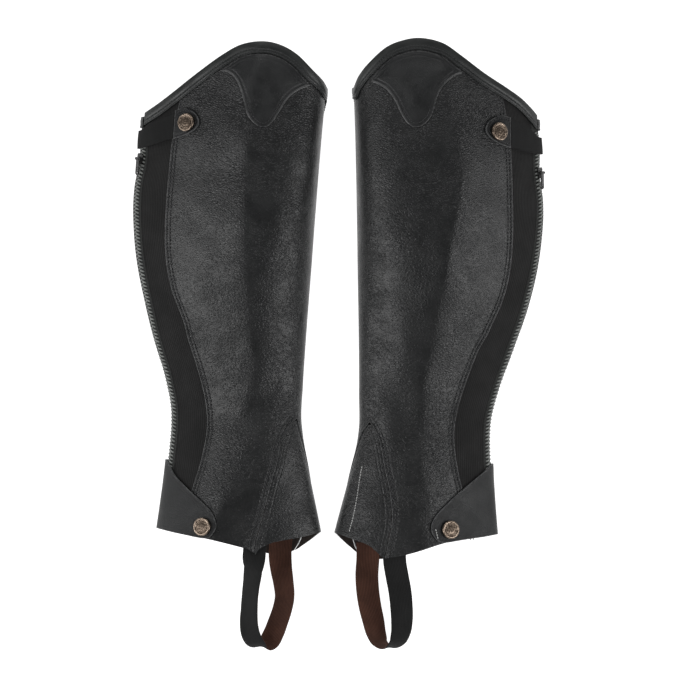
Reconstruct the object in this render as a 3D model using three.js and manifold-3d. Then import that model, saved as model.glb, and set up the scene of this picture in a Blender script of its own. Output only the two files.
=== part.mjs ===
// A pair of leather half chaps for riding, zipped closed and lying on their inner sides.
// Each one is a stiff, hollow leg tube of grain leather with a stretch gore and a zip at
// the back of the calf, a gusset over the instep, a bound top edge with a knee patch,
// snap straps at the calf and the ankle, and an elastic strap that passes under the foot.
//
// Millimetres, +Z up. The pair rests on the plane z = 0 with the knee ends towards +Y.
//
// Each chap is drawn in a leg frame of its own: "across" runs from the back of the calf
// (negative) to the shin line (0), "along" runs up the leg from the front of the ankle,
// and "up" is the height above the surface. A place on the leg tube is a pair (turn, along):
// turn goes once round the tube, 0 at the back edge, 1 on the crest of the outer side,
// 2 at the shin fold and 3 at the back edge again, after the flat inner side underneath.
import * as THREE from "three";
import Module from "manifold-3d";

const kernel = await Module();
kernel.setup();
const { CrossSection, Manifold } = kernel;

// ---------------------------------------------------------------- driving dimensions

const GAP = 0.3; // between neighbouring pieces
const LEATHER = 2.0; // grain leather wall
const GORE = { face: -0.6, wall: 1.4 }; // stretch panel, set in behind the leather edge
const TAPE = { face: -0.6, wall: 1.2, width: 3.4 };
const COIL = { face: 0.1, wall: 2.3, width: 5.6 };
const OVERLAY = 1.4; // leather laid on the leg: knee patch
const STRAP = { leather: 1.8, elastic: 1.6, lift: 0.5 }; // snap straps, over the zip coil
const BINDING = { width: 8.5, leather: 1.5 };
const SNAP = { radius: 7.7, height: 3.2 };
const SLIDER = { length: 9, width: 7, body: 1.2, ear: 0.8, along: 214, clear: 0.8 };
const PIN = { radius: 0.7, height: 3, sides: 16 }; // height over the slider's underside
const PULL = { length: 14, width: 3.8, thickness: 1, lean: 1, hole: 0.9 };
const PIN_WALL = 0.5; // metal round the pin, in the ears and in the pull's eye
const FOOT_STRAP = { width: 19.7, thickness: 1.6 };

const ZIP_TURN = 0.1; // the zip runs just above the back edge
const STRAP_TAIL = 10.5; // straps start this far under the zip, on the inner side
const FLAT_FROM = 2.25; // turns between which the inner side lies flat
const FLAT_TO = 2.8;
const APEX_ALONG = 2.6; // how far up the leg the gusset's tip reaches
const TIP_GAP = 1.8; // from the notch in the leather down to the gusset's rounded tip
// Half the gap at the gusset's far seam, in turns: round the shin, and on the flat inner side.
const FAR_GAP = { round: 0.0045, flat: 0.0022, from: 75, over: 25 };
const TOP_LIFT = { height: 2.4, from: 202, over: 22 }; // the binding lifts the inner side

// Rows of numbers under the names of their columns.
function table(names, ...lines) {
  const columns = names.split(" ");
  return lines.map((line) => Object.fromEntries(columns.map((name, k) => [name, line[k]])));
}

// Sections across the leg tube, from the hem to above the knee. Rear and flat are how far the
// crest stays level towards the back and towards the shin, as shares; shoulder is how upright
// the side stands above the shin fold.
const SECTIONS = table(
  "along back front leftCrest rightCrest height backHeight frontHeight rear flat shoulder",
  [-125, -117, 33, -72, -52, 41, 9, 12, 0.3, 0.5, 0.7],
  [-80, -113.5, 20.3, -61, -45, 42, 9, 15, 0.3, 0.5, 0.7],
  [-40, -111.5, 9.2, -47, -50, 43, 9, 18, 0.3, 0.48, 0.7],
  [0, -112, 0.2, -39, -49, 44, 9, 20, 0.3, 0.4, 0.68],
  [30, -119.7, -0.9, -41, -53, 47, 9, 21, 0.28, 0.32, 0.66],
  [60, -131.2, -1.2, -46, -58, 52, 9.5, 22, 0.24, 0.25, 0.66],
  [95, -143.2, -1.2, -51, -66, 58, 10, 22, 0.2, 0.25, 0.66],
  [130, -152.5, -1, -55, -73, 63, 10, 22, 0.18, 0.35, 0.72],
  [165, -157.6, -1, -58, -80, 66, 10, 22, 0.18, 0.55, 0.82],
  [190, -158.3, -0.9, -60, -85, 67, 10, 22, 0.19, 0.68, 0.88],
  [212, -155.6, -0.8, -60.5, -87, 67, 10, 22, 0.2, 0.72, 0.9],
  [232, -156, -0.6, -61, -86, 66.4, 10, 22, 0.2, 0.72, 0.9],
  [250, -154.8, -0.4, -61, -83, 65, 10, 22, 0.2, 0.7, 0.88],
  [280, -153, 0.2, -59, -76, 62, 10, 22, 0.2, 0.62, 0.82],
  [335, -150, 0, -54, -67, 55, 10, 22, 0.2, 0.55, 0.75],
);
const BACK_FOLD = 9; // height of the tight fold at the zip
const CORNER = { back: 11, front: 20 }; // length of the rounded lower edges
const ROUND = 0.55; // handle of a quarter round

// Top edge, left and right chap: the outer side from the zip to the shin, then the inner side.
const TOP_OUTER = table(
  "across left right",
  [-160, 245.6, 256.4], [-155, 249.4, 260], [-149, 254.2, 267.2], [-140, 261.2, 276.2],
  [-128, 271.6, 284.8], [-108, 289.6, 298], [-89, 305.2, 312.6], [-74, 314.8, 323],
  [-56, 318.8, 327.6], [-41, 316.8, 326], [-27, 310, 320.4], [-13, 297.8, 308.2],
  [-4, 289.6, 297], [0.5, 283, 287],
);
const TOP_INNER = table(
  "across left right",
  [-160, 248, 258], [-100, 253, 262], [-40, 257, 264], [-14, 262, 268], [-3, 272, 277],
  [0.5, 283, 287],
);

// Hem: the main panel on the outer side, the gusset's near edge, and the inner side.
const HEM_OUTER = table(
  "across left right",
  [-122, -98, -93.1], [-100, -102, -96.2], [-80, -104, -98.2], [-66, -105.4, -100.6],
  [-50, -107.4, -104.9], [-38, -109.9, -108.5], [-31, -113.6, -110.3], [-17, -117, -112.2],
);
const HEM_GUSSET = table(
  "across left right",
  [-33, -118, -114.5], [-28, -111, -114.2], [-18, -104.8, -112.2], [-11.5, -102.7, -106.4],
  [-6, -101.2, -101.8], [6, -98.3, -97], [18, -94.6, -92.6], [25, -91.6, -89.6],
);
const HEM_INNER = table(
  "across left right",
  [-122, -96.2, -91.6], [-100, -100, -95], [-60, -105.4, -102.4], [-31, -112.8, -111.4],
  [-15, -114.6, -114.4], [0, -111, -110.4], [10, -104.6, -103.6], [25, -91.6, -89.6],
);

// The S-shaped seam between the stretch gore and the leather, on the outer side.
const GORE_SEAM = table(
  "along across",
  [-125, -103], [-85, -94.5], [-60, -88], [-35, -82.5], [-10, -80.2], [12, -83.3], [32, -89.5],
  [55, -98.3], [80, -109.5], [105, -121], [130, -127.6], [160, -130.4], [200, -130.5],
  [235, -129.4], [262, -126], [300, -119],
);

// The gusset's seams, from its rounded tip to the hem: the near one by its place across the
// outer side, the far one by its turn round the shin.
const GUSSET_NEAR = table(
  "along left right",
  [-125, -31, -17], [-106, -31.5, -20.8], [-92, -28.7, -24], [-84, -26.8, -25.4],
  [-72, -24.6, -25.6], [-52, -21, -23.2], [-36, -17.4, -19.8], [-22, -15.8, -17.6],
  [-10, -12, -14.6], [-2, -7.8, -11], [2.6, -3.8, -8.1],
);
const GUSSET_FAR = table(
  "along turn",
  [-125, 2.34], [-95, 2.22], [-75, 2.11], [-55, 2.03], [-36, 1.97], [-20, 1.9], [-8, 1.82],
);

// Lower edge of the knee patch.
const KNEE_EDGE = table(
  "across left right",
  [-94, 292.8, 299.5], [-84, 291.6, 296], [-75.5, 285, 289], [-69.5, 271.5, 279.5],
  [-64.8, 257.5, 264.5], [-58.6, 250, 256], [-51.2, 247, 253], [-44.4, 250, 255.3],
  [-38.4, 260, 264], [-32, 272, 277.5], [-24, 280, 287], [-12, 286.5, 293],
);

// Ankle strap: lower and upper edge, from the zip to the rounded tip under the snap.
const ANKLE_STRAP = {
  left: table(
    "across low high",
    [-118, -99.2, -33.5], [-111.5, -100.4, -40.5], [-104.3, -101.6, -52.6],
    [-91.1, -103.4, -64.6], [-81.3, -104.6, -72.4], [-74, -104.8, -78.4], [-70.2, -103, -82.3],
    [-67.6, -99.6, -86.8], [-65.8, -95.6, -91.6],
  ),
  right: table(
    "across low high",
    [-118, -94, -28], [-112, -94.9, -33.2], [-105.3, -96, -40], [-95, -97.3, -48.4],
    [-86.4, -98.4, -55.3], [-80.1, -99.3, -60.4], [-70.6, -100.4, -69.5],
    [-65.5, -99.2, -74.6], [-61.5, -95.2, -79.9], [-59.2, -90.4, -85.4],
  ),
};

// Calf strap: an elastic band over the zip, then a leather tab with a rounded end.
const CALF_STRAP = {
  left: {
    elastic: table(
      "across low high",
      [-160, 221.3, 236.4], [-154.5, 222.4, 237.8], [-153, 222.8, 238.6], [-145, 225.4, 245.2],
      [-125.7, 232.8, 254.4],
    ),
    tab: table(
      "across low high",
      [-125.3, 232.4, 256.6], [-118, 235, 259], [-111.6, 238.2, 257.2], [-107.2, 242, 253.6],
      [-105, 245.8, 249.6],
    ),
    snap: [-114.4, 246.6],
  },
  right: {
    elastic: table(
      "across low high",
      [-160, 229.5, 243], [-154.5, 230, 244.4], [-153, 230.2, 245.4], [-145, 231.6, 253.2],
      [-130.4, 235.4, 259.6],
    ),
    tab: table(
      "across low high",
      [-130, 235, 260.8], [-122.5, 237.4, 262.3], [-116, 241.1, 260], [-111.5, 245, 256.5],
      [-109.3, 248.7, 252.6],
    ),
    snap: [-119.4, 248.4],
  },
};

// Elastic foot strap, from inside the outer hem, round under the foot and back inside the
// inner hem. Tilt lifts its shin-side edge, in degrees.
const FOOT_STRAP_ROUTE = {
  left: table(
    "across along up tilt",
    [-32.6, -99, 0, 0], [-32.6, -115, 0, 0], [-33.2, -128, 32.5, 28], [-33, -140, 28, 42],
    [-32.8, -152, 24.5, 46], [-32.6, -164, 21.5, 44], [-32, -175, 18.6, 38],
    [-29.6, -185, 15.4, 30], [-25, -191.5, 12, 24], [-19.4, -193.6, 9, 22],
    [-14.2, -190, 7, 24], [-10.4, -182, 6.6, 28], [-7.4, -172, 7, 31], [-4.6, -161, 7.4, 33],
    [-3.4, -150, 7.4, 33], [-5.4, -138, 6.8, 28], [-8.2, -126, 5.8, 18], [-10, -114, 4, 4],
    [-10.2, -100, 3.2, 0],
  ),
  right: table(
    "across along up tilt",
    [-28, -99, 0, 0], [-27.8, -115, 0, 0], [-29.8, -128, 31.5, 4], [-32.2, -142, 26, 8],
    [-33.4, -156, 21.5, 13], [-33.6, -167, 18, 20], [-32.6, -177, 15.4, 30],
    [-29, -185.5, 13, 42], [-22, -189.4, 11, 52], [-15.2, -186, 9.4, 44],
    [-11.4, -177.5, 7.2, 30], [-9.2, -167, 4.8, 18], [-6.6, -155, 3.4, 10],
    [-4.8, -142, 2.6, 5], [-4.2, -128, 2.8, 3], [-5.2, -114, 3.9, 2], [-5.4, -100, 4, 2],
  ),
};
const SEWN_ROWS = 2; // of the route, against the inner face of the outer side

// Soft troughs (negative) and swells (positive) in the outer side.
const FOLDS = table(
  "across along angle length width height",
  [-30, 22, 62, 34, 11, -1.6], [-58, -2, 8, 30, 13, -1.5], [-62, 62, 72, 46, 15, -1.4],
  [-92, 118, 84, 60, 20, 1.6], [-30, 150, 88, 70, 16, 1.2], [-74, 205, 28, 42, 17, -1.2],
);

const CHAPS = [
  {
    side: "left",
    mirrored: false,
    ankle: [-32.176, -65.313], // front of the ankle in the part's frame
    lean: -4.2, // degrees of turn on the surface
    backShift: 0.8,
    frontShift: 0,
    seamShift: 2,
    ankleSnap: [-76.2, -95.2],
  },
  {
    side: "right",
    mirrored: true,
    ankle: [17.924, -68.713],
    lean: 0.73,
    backShift: -1,
    frontShift: 1.5,
    seamShift: -2,
    ankleSnap: [-74.3, -89.5],
  },
];

// ---------------------------------------------------------------- finishes

const FINISH = {
  leather: { color: 0x1c1d1e, roughness: 0.5, metalness: 0 },
  patch: { color: 0x202122, roughness: 0.55, metalness: 0 },
  binding: { color: 0x262827, roughness: 0.5, metalness: 0 },
  gore: { color: 0x17181a, roughness: 0.95, metalness: 0 },
  elastic: { color: 0x141415, roughness: 0.95, metalness: 0 },
  tape: { color: 0x1a1a1b, roughness: 0.9, metalness: 0 },
  coil: { color: 0x2c2d2d, roughness: 0.45, metalness: 0 },
  slider: { color: 0x2a2a2a, roughness: 0.4, metalness: 0.8 },
  brass: { color: 0x7a6248, roughness: 0.4, metalness: 1 },
};

// ---------------------------------------------------------------- small maths

const lerp = THREE.MathUtils.lerp;
const rad = THREE.MathUtils.degToRad;
const smooth = (x, from, over) => THREE.MathUtils.smoothstep(x, from, from + over);

// One column of a table at a place between its rows, by a smooth curve through them.
function track(rows, by, column, at) {
  const forward = rows[0][by] < rows[rows.length - 1][by];
  const sorted = forward ? rows : [...rows].reverse();
  const last = sorted.length - 1;
  const x = THREE.MathUtils.clamp(at, sorted[0][by], sorted[last][by]);
  let i = 0;
  while (i < last - 1 && x > sorted[i + 1][by]) i++;
  const slope = (k) => {
    const a = sorted[Math.max(k - 1, 0)];
    const b = sorted[Math.min(k + 1, last)];
    return (b[column] - a[column]) / (b[by] - a[by]);
  };
  const span = sorted[i + 1][by] - sorted[i][by];
  const t = (x - sorted[i][by]) / span;
  const [t2, t3] = [t * t, t * t * t];
  return (
    (2 * t3 - 3 * t2 + 1) * sorted[i][column] +
    (t3 - 2 * t2 + t) * span * slope(i) +
    (3 * t2 - 2 * t3) * sorted[i + 1][column] +
    (t3 - t2) * span * slope(i + 1)
  );
}

// A point on a cubic Bezier curve in the plane of a section.
function bezier(a, b, c, d, t) {
  const s = 1 - t;
  const mix = (k) => s * s * s * a[k] + 3 * s * s * t * b[k] + 3 * s * t * t * c[k] + t * t * t * d[k];
  return [mix(0), mix(1)];
}

// ---------------------------------------------------------------- the leg tube of one chap

function makeTube(chap) {
  // The five stretches of a section, as (across, up) at a turn.
  function section(turn, along) {
    const at = (column) => track(SECTIONS, "along", column, along);
    const back = at("back") + chap.backShift * smooth(along, 60, 40);
    const front = at("front") + chap.frontShift * smooth(along, -20, 40);
    const [crest, height] = [at(chap.side + "Crest"), at("height")];
    const floor = TOP_LIFT.height * smooth(along, TOP_LIFT.from, TOP_LIFT.over);
    const backHeight = at("backHeight") + floor;
    const frontHeight = at("frontHeight") + floor;
    if (turn < 1) {
      const foldTop = [back, backHeight + BACK_FOLD];
      const level = [lerp(crest, back, at("rear")), height];
      return bezier([back, backHeight], foldTop, level, [crest, height], turn);
    }
    if (turn < 2) {
      const level = [lerp(crest, front, at("flat")), height];
      const drop = [front, lerp(frontHeight, height, at("shoulder"))];
      return bezier([crest, height], level, drop, [front, frontHeight], turn - 1);
    }
    const frontFoot = front - CORNER.front;
    const backFoot = back + CORNER.back;
    if (turn < FLAT_FROM) {
      const side = [front, lerp(frontHeight, floor, ROUND)];
      const foot = [lerp(frontFoot, front, 1 - ROUND), floor];
      const t = (turn - 2) / (FLAT_FROM - 2);
      return bezier([front, frontHeight], side, foot, [frontFoot, floor], t);
    }
    if (turn <= FLAT_TO)
      return [lerp(frontFoot, backFoot, (turn - FLAT_FROM) / (FLAT_TO - FLAT_FROM)), floor];
    const foot = [lerp(backFoot, back, ROUND), floor];
    const side = [back, lerp(backHeight, floor, ROUND)];
    const t = (turn - FLAT_TO) / (3 - FLAT_TO);
    return bezier([backFoot, floor], foot, side, [back, backHeight], t);
  }

  // Height that the soft folds add on the outer side.
  function foldHeight(across, along) {
    let sum = 0;
    for (const fold of FOLDS) {
      const [dx, dy] = [across - fold.across, along - fold.along];
      const [c, s] = [Math.cos(rad(fold.angle)), Math.sin(rad(fold.angle))];
      const lengthwise = (dx * c + dy * s) / fold.length;
      const crosswise = (dy * c - dx * s) / fold.width;
      sum += fold.height * Math.exp(-lengthwise * lengthwise - crosswise * crosswise);
    }
    return sum;
  }

  function point(turn, along) {
    const round = ((turn % 3) + 3) % 3;
    const [across, up] = section(round, along);
    const onOuter = smooth(round, 0.25, 0.35) * (1 - smooth(round, 1.5, 0.35));
    return new THREE.Vector3(across, along, up + onOuter * foldHeight(across, along));
  }

  function normal(turn, along) {
    const round = point(turn + 1e-4, along).sub(point(turn - 1e-4, along));
    const up = point(turn, along + 0.05).sub(point(turn, along - 0.05));
    return round.cross(up).normalize();
  }

  // The turn reached from another one by a distance round the tube.
  function slide(turn, along, distance) {
    const step = Math.sign(distance) * 0.005;
    let left = Math.abs(distance);
    let here = point(turn, along);
    for (;;) {
      const next = point(turn + step, along);
      const stretch = next.distanceTo(here);
      if (stretch >= left) return turn + (step * left) / stretch;
      left -= stretch;
      turn += step;
      here = next;
    }
  }

  // The turn on the outer side at a place across.
  function turnAt(across, along) {
    let [low, high] = [0, 2];
    for (let i = 0; i < 26; i++) {
      const middle = (low + high) / 2;
      if (point(middle, along).x < across) low = middle;
      else high = middle;
    }
    return (low + high) / 2;
  }

  const gussetNear = (along) => track(GUSSET_NEAR, "along", chap.side, along);
  const apexTurn = turnAt(gussetNear(APEX_ALONG), APEX_ALONG);
  const edge = (rows) => (turn, along) => track(rows, "across", chap.side, point(turn, along).x);
  const outerTop = edge(TOP_OUTER);
  const innerTop = edge(TOP_INNER);
  const outerHem = edge(HEM_OUTER);
  const gussetHem = edge(HEM_GUSSET);
  const innerHem = edge(HEM_INNER);
  return {
    point,
    normal,
    slide,
    turnAt,
    apexTurn,
    gussetNear,
    gussetFar: (along, way) => {
      const rows = [...GUSSET_FAR, { along: APEX_ALONG, turn: apexTurn }];
      const flat = smooth(-along, FAR_GAP.from, FAR_GAP.over);
      return track(rows, "along", "turn", along) + way * lerp(FAR_GAP.round, FAR_GAP.flat, flat);
    },
    top: (turn, along) => (turn >= 0 && turn <= 2 ? outerTop : innerTop)(turn, along),
    hem: (turn, along) => (turn >= 0 && turn <= 2 ? outerHem : innerHem)(turn, along),
    gussetHem: (turn, along) => (turn <= 2 ? gussetHem : innerHem)(turn, along),
    fromZip: (distance) => (along) => slide(ZIP_TURN, along, distance),
    goreSeam: (along) => {
      const shift = chap.seamShift * smooth(along, 60, 80);
      return track(GORE_SEAM, "along", "across", along) + shift;
    },
  };
}

// ---------------------------------------------------------------- patches and walls

// A patch is a mesh of (turn, along) places. This adds a grid of them, where placeAt takes
// the share of the columns and of the rows, and reuse may name a place already there.
function addGrid(patch, columns, rows, placeAt, reuse = () => undefined) {
  const index = [];
  for (let i = 0; i <= columns; i++) {
    index.push([]);
    for (let j = 0; j <= rows; j++) {
      const known = reuse(i, j);
      index[i][j] = known ?? patch.places.push(placeAt(i / columns, j / rows)) - 1;
    }
  }
  for (let i = 0; i < columns; i++)
    for (let j = 0; j < rows; j++) {
      const [a, b, c, d] = [index[i][j], index[i + 1][j], index[i + 1][j + 1], index[i][j + 1]];
      if (a !== b) patch.faces.push([a, b, c]);
      if (c !== d) patch.faces.push([a, c, d]);
    }
  return index;
}

// Rows shared by the panels of the leg, so that their seams match: some from the hem up to
// the gusset's tip, closer together near it, and the rest from there to the top edge.
const ROWS = { lower: 8, upper: 14 };
const LEG_ROWS = ROWS.lower + ROWS.upper;
function legRow(share, low, high) {
  const row = Math.round(share * LEG_ROWS);
  if (row >= ROWS.lower) return lerp(APEX_ALONG, high, (row - ROWS.lower) / ROWS.upper);
  const down = 1 - row / ROWS.lower;
  return lerp(APEX_ALONG, low, down * down);
}

const evenRow = (share, low, high) => lerp(low, high, share);

// The place in a panel at shares (a, b): a between its left and right turns, b between its
// low and high edges. The edges depend on each other, so the place is settled step by step.
function settle(panel, a, b, rowAt = evenRow) {
  let along = lerp(-100, 250, b);
  let turn = 0;
  for (let i = 0; i < 16; i++) {
    turn = panel.spread ? panel.spread(a, along) : lerp(panel.left(along), panel.right(along), a);
    along = rowAt(b, panel.low(turn, along), panel.high(turn, along));
  }
  return [turn, along];
}

// A wall on a patch: its outer face stands off the tube by outer, its inner face by inner.
function wallGeometry(tube, patch, outer, inner) {
  const count = patch.places.length;
  const positions = [];
  for (const offset of [outer, inner])
    for (const [turn, along] of patch.places)
      positions.push(...tube.point(turn, along).addScaledVector(tube.normal(turn, along), offset));
  const edges = new Set();
  for (const face of patch.faces) face.forEach((v, k) => edges.add(v + "," + face[(k + 1) % 3]));
  const index = [];
  for (const [a, b, c] of patch.faces) index.push(a, b, c, count + a, count + c, count + b);
  for (const key of edges) {
    const [a, b] = key.split(",").map(Number);
    if (!edges.has(b + "," + a)) index.push(a, count + a, count + b, a, count + b, b);
  }
  return indexed(positions, index);
}

function indexed(positions, index) {
  const geometry = new THREE.BufferGeometry();
  geometry.setAttribute("position", new THREE.Float32BufferAttribute(positions, 3));
  geometry.setIndex(index);
  return geometry;
}

// A closed tube through rings of points, with ends. The outline gives a ring's shape in the
// plane, as (x, y) pairs in the order of its points.
function ringGeometry(rings, outline) {
  const size = outline.length;
  const index = [];
  for (let i = 0; i + 1 < rings.length; i++)
    for (let k = 0; k < size; k++) {
      const [a, b] = [i * size + k, i * size + ((k + 1) % size)];
      index.push(a, b, b + size, a, b + size, a + size);
    }
  const flat = outline.map(([x, y]) => new THREE.Vector2(x, y));
  const backwards = THREE.ShapeUtils.isClockWise(flat);
  const end = (rings.length - 1) * size;
  for (const [a, p, q] of THREE.ShapeUtils.triangulateShape(flat, [])) {
    const [b, c] = backwards ? [q, p] : [p, q];
    index.push(a, c, b, end + a, end + b, end + c);
  }
  return indexed(rings.flat().flatMap((point) => [...point]), index);
}

function named(name, geometry, finish) {
  const mesh = new THREE.Mesh(geometry, new THREE.MeshStandardMaterial(FINISH[finish]));
  mesh.name = name;
  return mesh;
}

// ---------------------------------------------------------------- panels of the leg

// Main leather: the outer side from the gore seam to the shin, round the shin and under the
// leg to the zip, with a notch at the front for the gusset.
function mainPatch(tube) {
  const whole = (along) => along > APEX_ALONG - 1e-6; // above the gusset
  const left = (along) => tube.turnAt(tube.goreSeam(along) + GAP / 2, along);
  const right = (along) =>
    whole(along) ? tube.apexTurn : tube.turnAt(tube.gussetNear(along) - GAP, along);
  const far = (along) => (whole(along) ? tube.apexTurn : tube.gussetFar(along, 1));
  const zip = (along) => 3 + tube.fromZip(-PANEL_START)(along);
  // Columns from the shin over the flat.
  const farShares = [0, 0.1, 0.19, 0.27, 0.33, 0.39, 0.445, 0.5, 1];
  const farColumns = farShares.length + 1;
  const spread = (a, along) => {
    const column = Math.round(a * farColumns);
    if (column < farShares.length) return lerp(far(along), FLAT_TO, farShares[column]);
    return lerp(FLAT_TO, zip(along), (column - farShares.length + 1) / 2);
  };
  const nearColumns = 8;
  const patch = { places: [], faces: [] };
  const near = addGrid(patch, nearColumns, LEG_ROWS, (a, b) =>
    settle({ left, right, low: tube.hem, high: tube.top }, a, b, legRow),
  );
  const under = addGrid(
    patch, farColumns, LEG_ROWS,
    (a, b) => settle({ spread, low: tube.gussetHem, high: tube.top }, a, b, legRow),
    (i, j) => (i === 0 && j >= ROWS.lower ? near[nearColumns][j] : undefined),
  );
  return { patch, topRow: topPlaces(patch, [...near, ...under.slice(1)]) };
}

// Instep gusset, a leather wedge from its rounded tip down to the hem.
function gusset(tube) {
  const tip = APEX_ALONG - TIP_GAP;
  const near = (along) => tube.turnAt(tube.gussetNear(along) + GAP, along);
  const far = (along) => tube.gussetFar(along, -1);
  const panel = { left: near, right: far, low: tube.gussetHem, high: () => tip };
  const rowAt = (share, low) =>
    share === 1 ? tip : Math.min(lerp(APEX_ALONG, low, (1 - share) * (1 - share)), tip - 1);
  const patch = { places: [[tube.apexTurn, tip]], faces: [] };
  addGrid(
    patch, 8, ROWS.lower,
    (a, b) => settle(panel, a, b, rowAt),
    (i, j) => (j === ROWS.lower ? 0 : undefined),
  );
  return wallGeometry(tube, patch, 0, -LEATHER);
}

// A panel between two lines along the leg, from the hem to the top edge.
function stripPatch(tube, left, right, columns, rowAt = legRow) {
  const panel = { left, right, low: tube.hem, high: tube.top };
  const patch = { places: [], faces: [] };
  const index = addGrid(patch, columns, LEG_ROWS, (a, b) => settle(panel, a, b, rowAt));
  return { patch, topRow: topPlaces(patch, index) };
}

// The places of a panel's top row, each with the place below it in its column.
function topPlaces(patch, index) {
  return index.map((column) => [LEG_ROWS, LEG_ROWS - 1].map((row) => patch.places[column[row]]));
}

const COIL_HALF = COIL.width / 2;
const TAPE_START = COIL_HALF + GAP; // distances round the tube from the middle of the zip
const TAPE_END = TAPE_START + TAPE.width;
const PANEL_START = TAPE_END + GAP;

function gorePatch(tube) {
  const seam = (along) => tube.turnAt(tube.goreSeam(along) - GAP / 2, along);
  return stripPatch(tube, tube.fromZip(PANEL_START), seam, 4);
}

function tapePatch(tube, way) {
  const [near, far] = [tube.fromZip(way * TAPE_START), tube.fromZip(way * TAPE_END)];
  return way > 0 ? stripPatch(tube, near, far, 1) : stripPatch(tube, far, near, 1);
}

function coilPatch(tube) {
  const stop = BINDING.width + 3; // below the top edge
  const rowAt = (share, low, high) =>
    THREE.MathUtils.clamp(legRow(share, low, high), low + 2, high - stop * (2 - share));
  return stripPatch(tube, tube.fromZip(-COIL_HALF), tube.fromZip(COIL_HALF), 2, rowAt);
}

const layered = (tube, { patch }, layer) =>
  wallGeometry(tube, patch, layer.face, layer.face - layer.wall);

// A frame on the tube: its point, outward normal and the directions round and up the leg.
function frameOn(tube, turn, along) {
  const normal = tube.normal(turn, along);
  const up = tube.point(turn, along + 0.1).sub(tube.point(turn, along - 0.1)).normalize();
  const round = up.clone().cross(normal).normalize();
  return { origin: tube.point(turn, along), normal, round, up: normal.clone().cross(round) };
}

// Binding folded over the top edge of the panels, from one side of the zip round to the other.
// Its two legs lie along the panels' own columns, down from the edge.
function binding(tube, columns) {
  const [near, far] = [GAP + 0.25, -LEATHER - GAP - 0.25]; // faces next to the panel
  const roof = 2 * GAP;
  const [out, back] = [near + BINDING.leather, far - BINDING.leather];
  const foot = -BINDING.width;
  const profile = [
    [near, foot], [near, roof], [far, roof], [far, foot],
    [back, foot], [back, roof], [far + 0.3, 2.1], [near - 0.3, 2.1], [out, roof], [out, foot],
  ];
  const standOff = ([turn, along], offset) =>
    tube.point(turn, along).addScaledVector(tube.normal(turn, along), offset);
  const points = columns.map(([top]) => tube.point(...top));
  const rings = columns.map(([top, below], i) => {
    const ahead = points[Math.min(i + 1, points.length - 1)];
    const edge = ahead.clone().sub(points[Math.max(i - 1, 0)]).normalize();
    const rise = tube.normal(...top).cross(edge).normalize();
    const column = tube.point(...below).sub(points[i]);
    const depth = column.clone().cross(edge).length(); // of the column's foot below the edge
    return profile.map(([offset, up]) => {
      const start = standOff(top, offset);
      if (up >= 0) return start.addScaledVector(rise, up);
      return start.lerp(standOff(below, offset), -up / depth);
    });
  });
  return ringGeometry(rings, profile);
}

// Knee patch, laid on the outer side below the binding.
function kneePatch(tube, chap) {
  const [from, to] = [-90, -13.5];
  const turnLine = (across) => (along) => tube.turnAt(across, along);
  const low = (turn, along) => track(KNEE_EDGE, "across", chap.side, tube.point(turn, along).x);
  const foot = BINDING.width + 1.1;
  const high = (turn, along) => {
    const across = tube.point(turn, along).x;
    const slope =
      (track(TOP_OUTER, "across", chap.side, across + 1) -
        track(TOP_OUTER, "across", chap.side, across - 1)) / 2;
    const top = track(TOP_OUTER, "across", chap.side, across);
    return Math.max(top - foot * Math.hypot(1, slope), low(turn, along) + 0.8);
  };
  const patch = { places: [], faces: [] };
  addGrid(patch, 18, 3, (a, b) =>
    settle({ left: turnLine(from), right: turnLine(to), low, high }, a, b),
  );
  return wallGeometry(tube, patch, GAP + OVERLAY, GAP);
}

// ---------------------------------------------------------------- straps

// A strap across the leg from rows of its lower and upper edge, laid on the tube. Rows name
// places across; a tail goes on round the back edge to the inner side.
function strapPatch(tube, rows, tail, columns) {
  const at = (column, turn, along) =>
    track(rows, "across", column, tube.point(Math.max(turn, 0), along).x);
  const tip = rows[rows.length - 1].across;
  const start = tail ? tube.fromZip(-tail) : (along) => tube.turnAt(rows[0].across, along);
  const end = (along) => tube.turnAt(tip, along);
  const crowd = tail ? 1.5 : 1; // columns crowd where the strap bends round the back
  const panel = {
    spread: (a, along) => lerp(start(along), end(along), a ** crowd),
    low: (turn, along) => at("low", turn, along),
    high: (turn, along) => at("high", turn, along),
  };
  const patch = { places: [], faces: [] };
  addGrid(patch, columns, 3, (a, b) => settle(panel, a, b));
  return patch;
}

function strap(tube, rows, tail, columns, thickness) {
  const patch = strapPatch(tube, rows, tail, columns);
  return wallGeometry(tube, patch, STRAP.lift + thickness, STRAP.lift);
}

// Snap cap: a low dome with a raised rim, turned about the normal of the strap.
function snapCap(tube, [across, along]) {
  const { radius, height } = SNAP;
  const profile = [
    [0, 0], [radius - 0.8, 0], [radius, 0.7], [radius - 0.2, height - 0.6],
    [radius - 1.2, height], [radius - 2, height - 0.7], [3.2, height - 0.5], [0, height - 0.2],
  ].map(([x, y]) => new THREE.Vector2(x, y));
  const geometry = new THREE.LatheGeometry(profile, 18);
  const frame = frameOn(tube, tube.turnAt(across, along), along);
  const turnUp = new THREE.Quaternion().setFromUnitVectors(new THREE.Vector3(0, 1, 0), frame.normal);
  const lift = STRAP.lift + STRAP.leather + GAP;
  const seat = frame.origin.addScaledVector(frame.normal, lift);
  geometry.applyQuaternion(turnUp).translate(...seat);
  return geometry;
}

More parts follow.
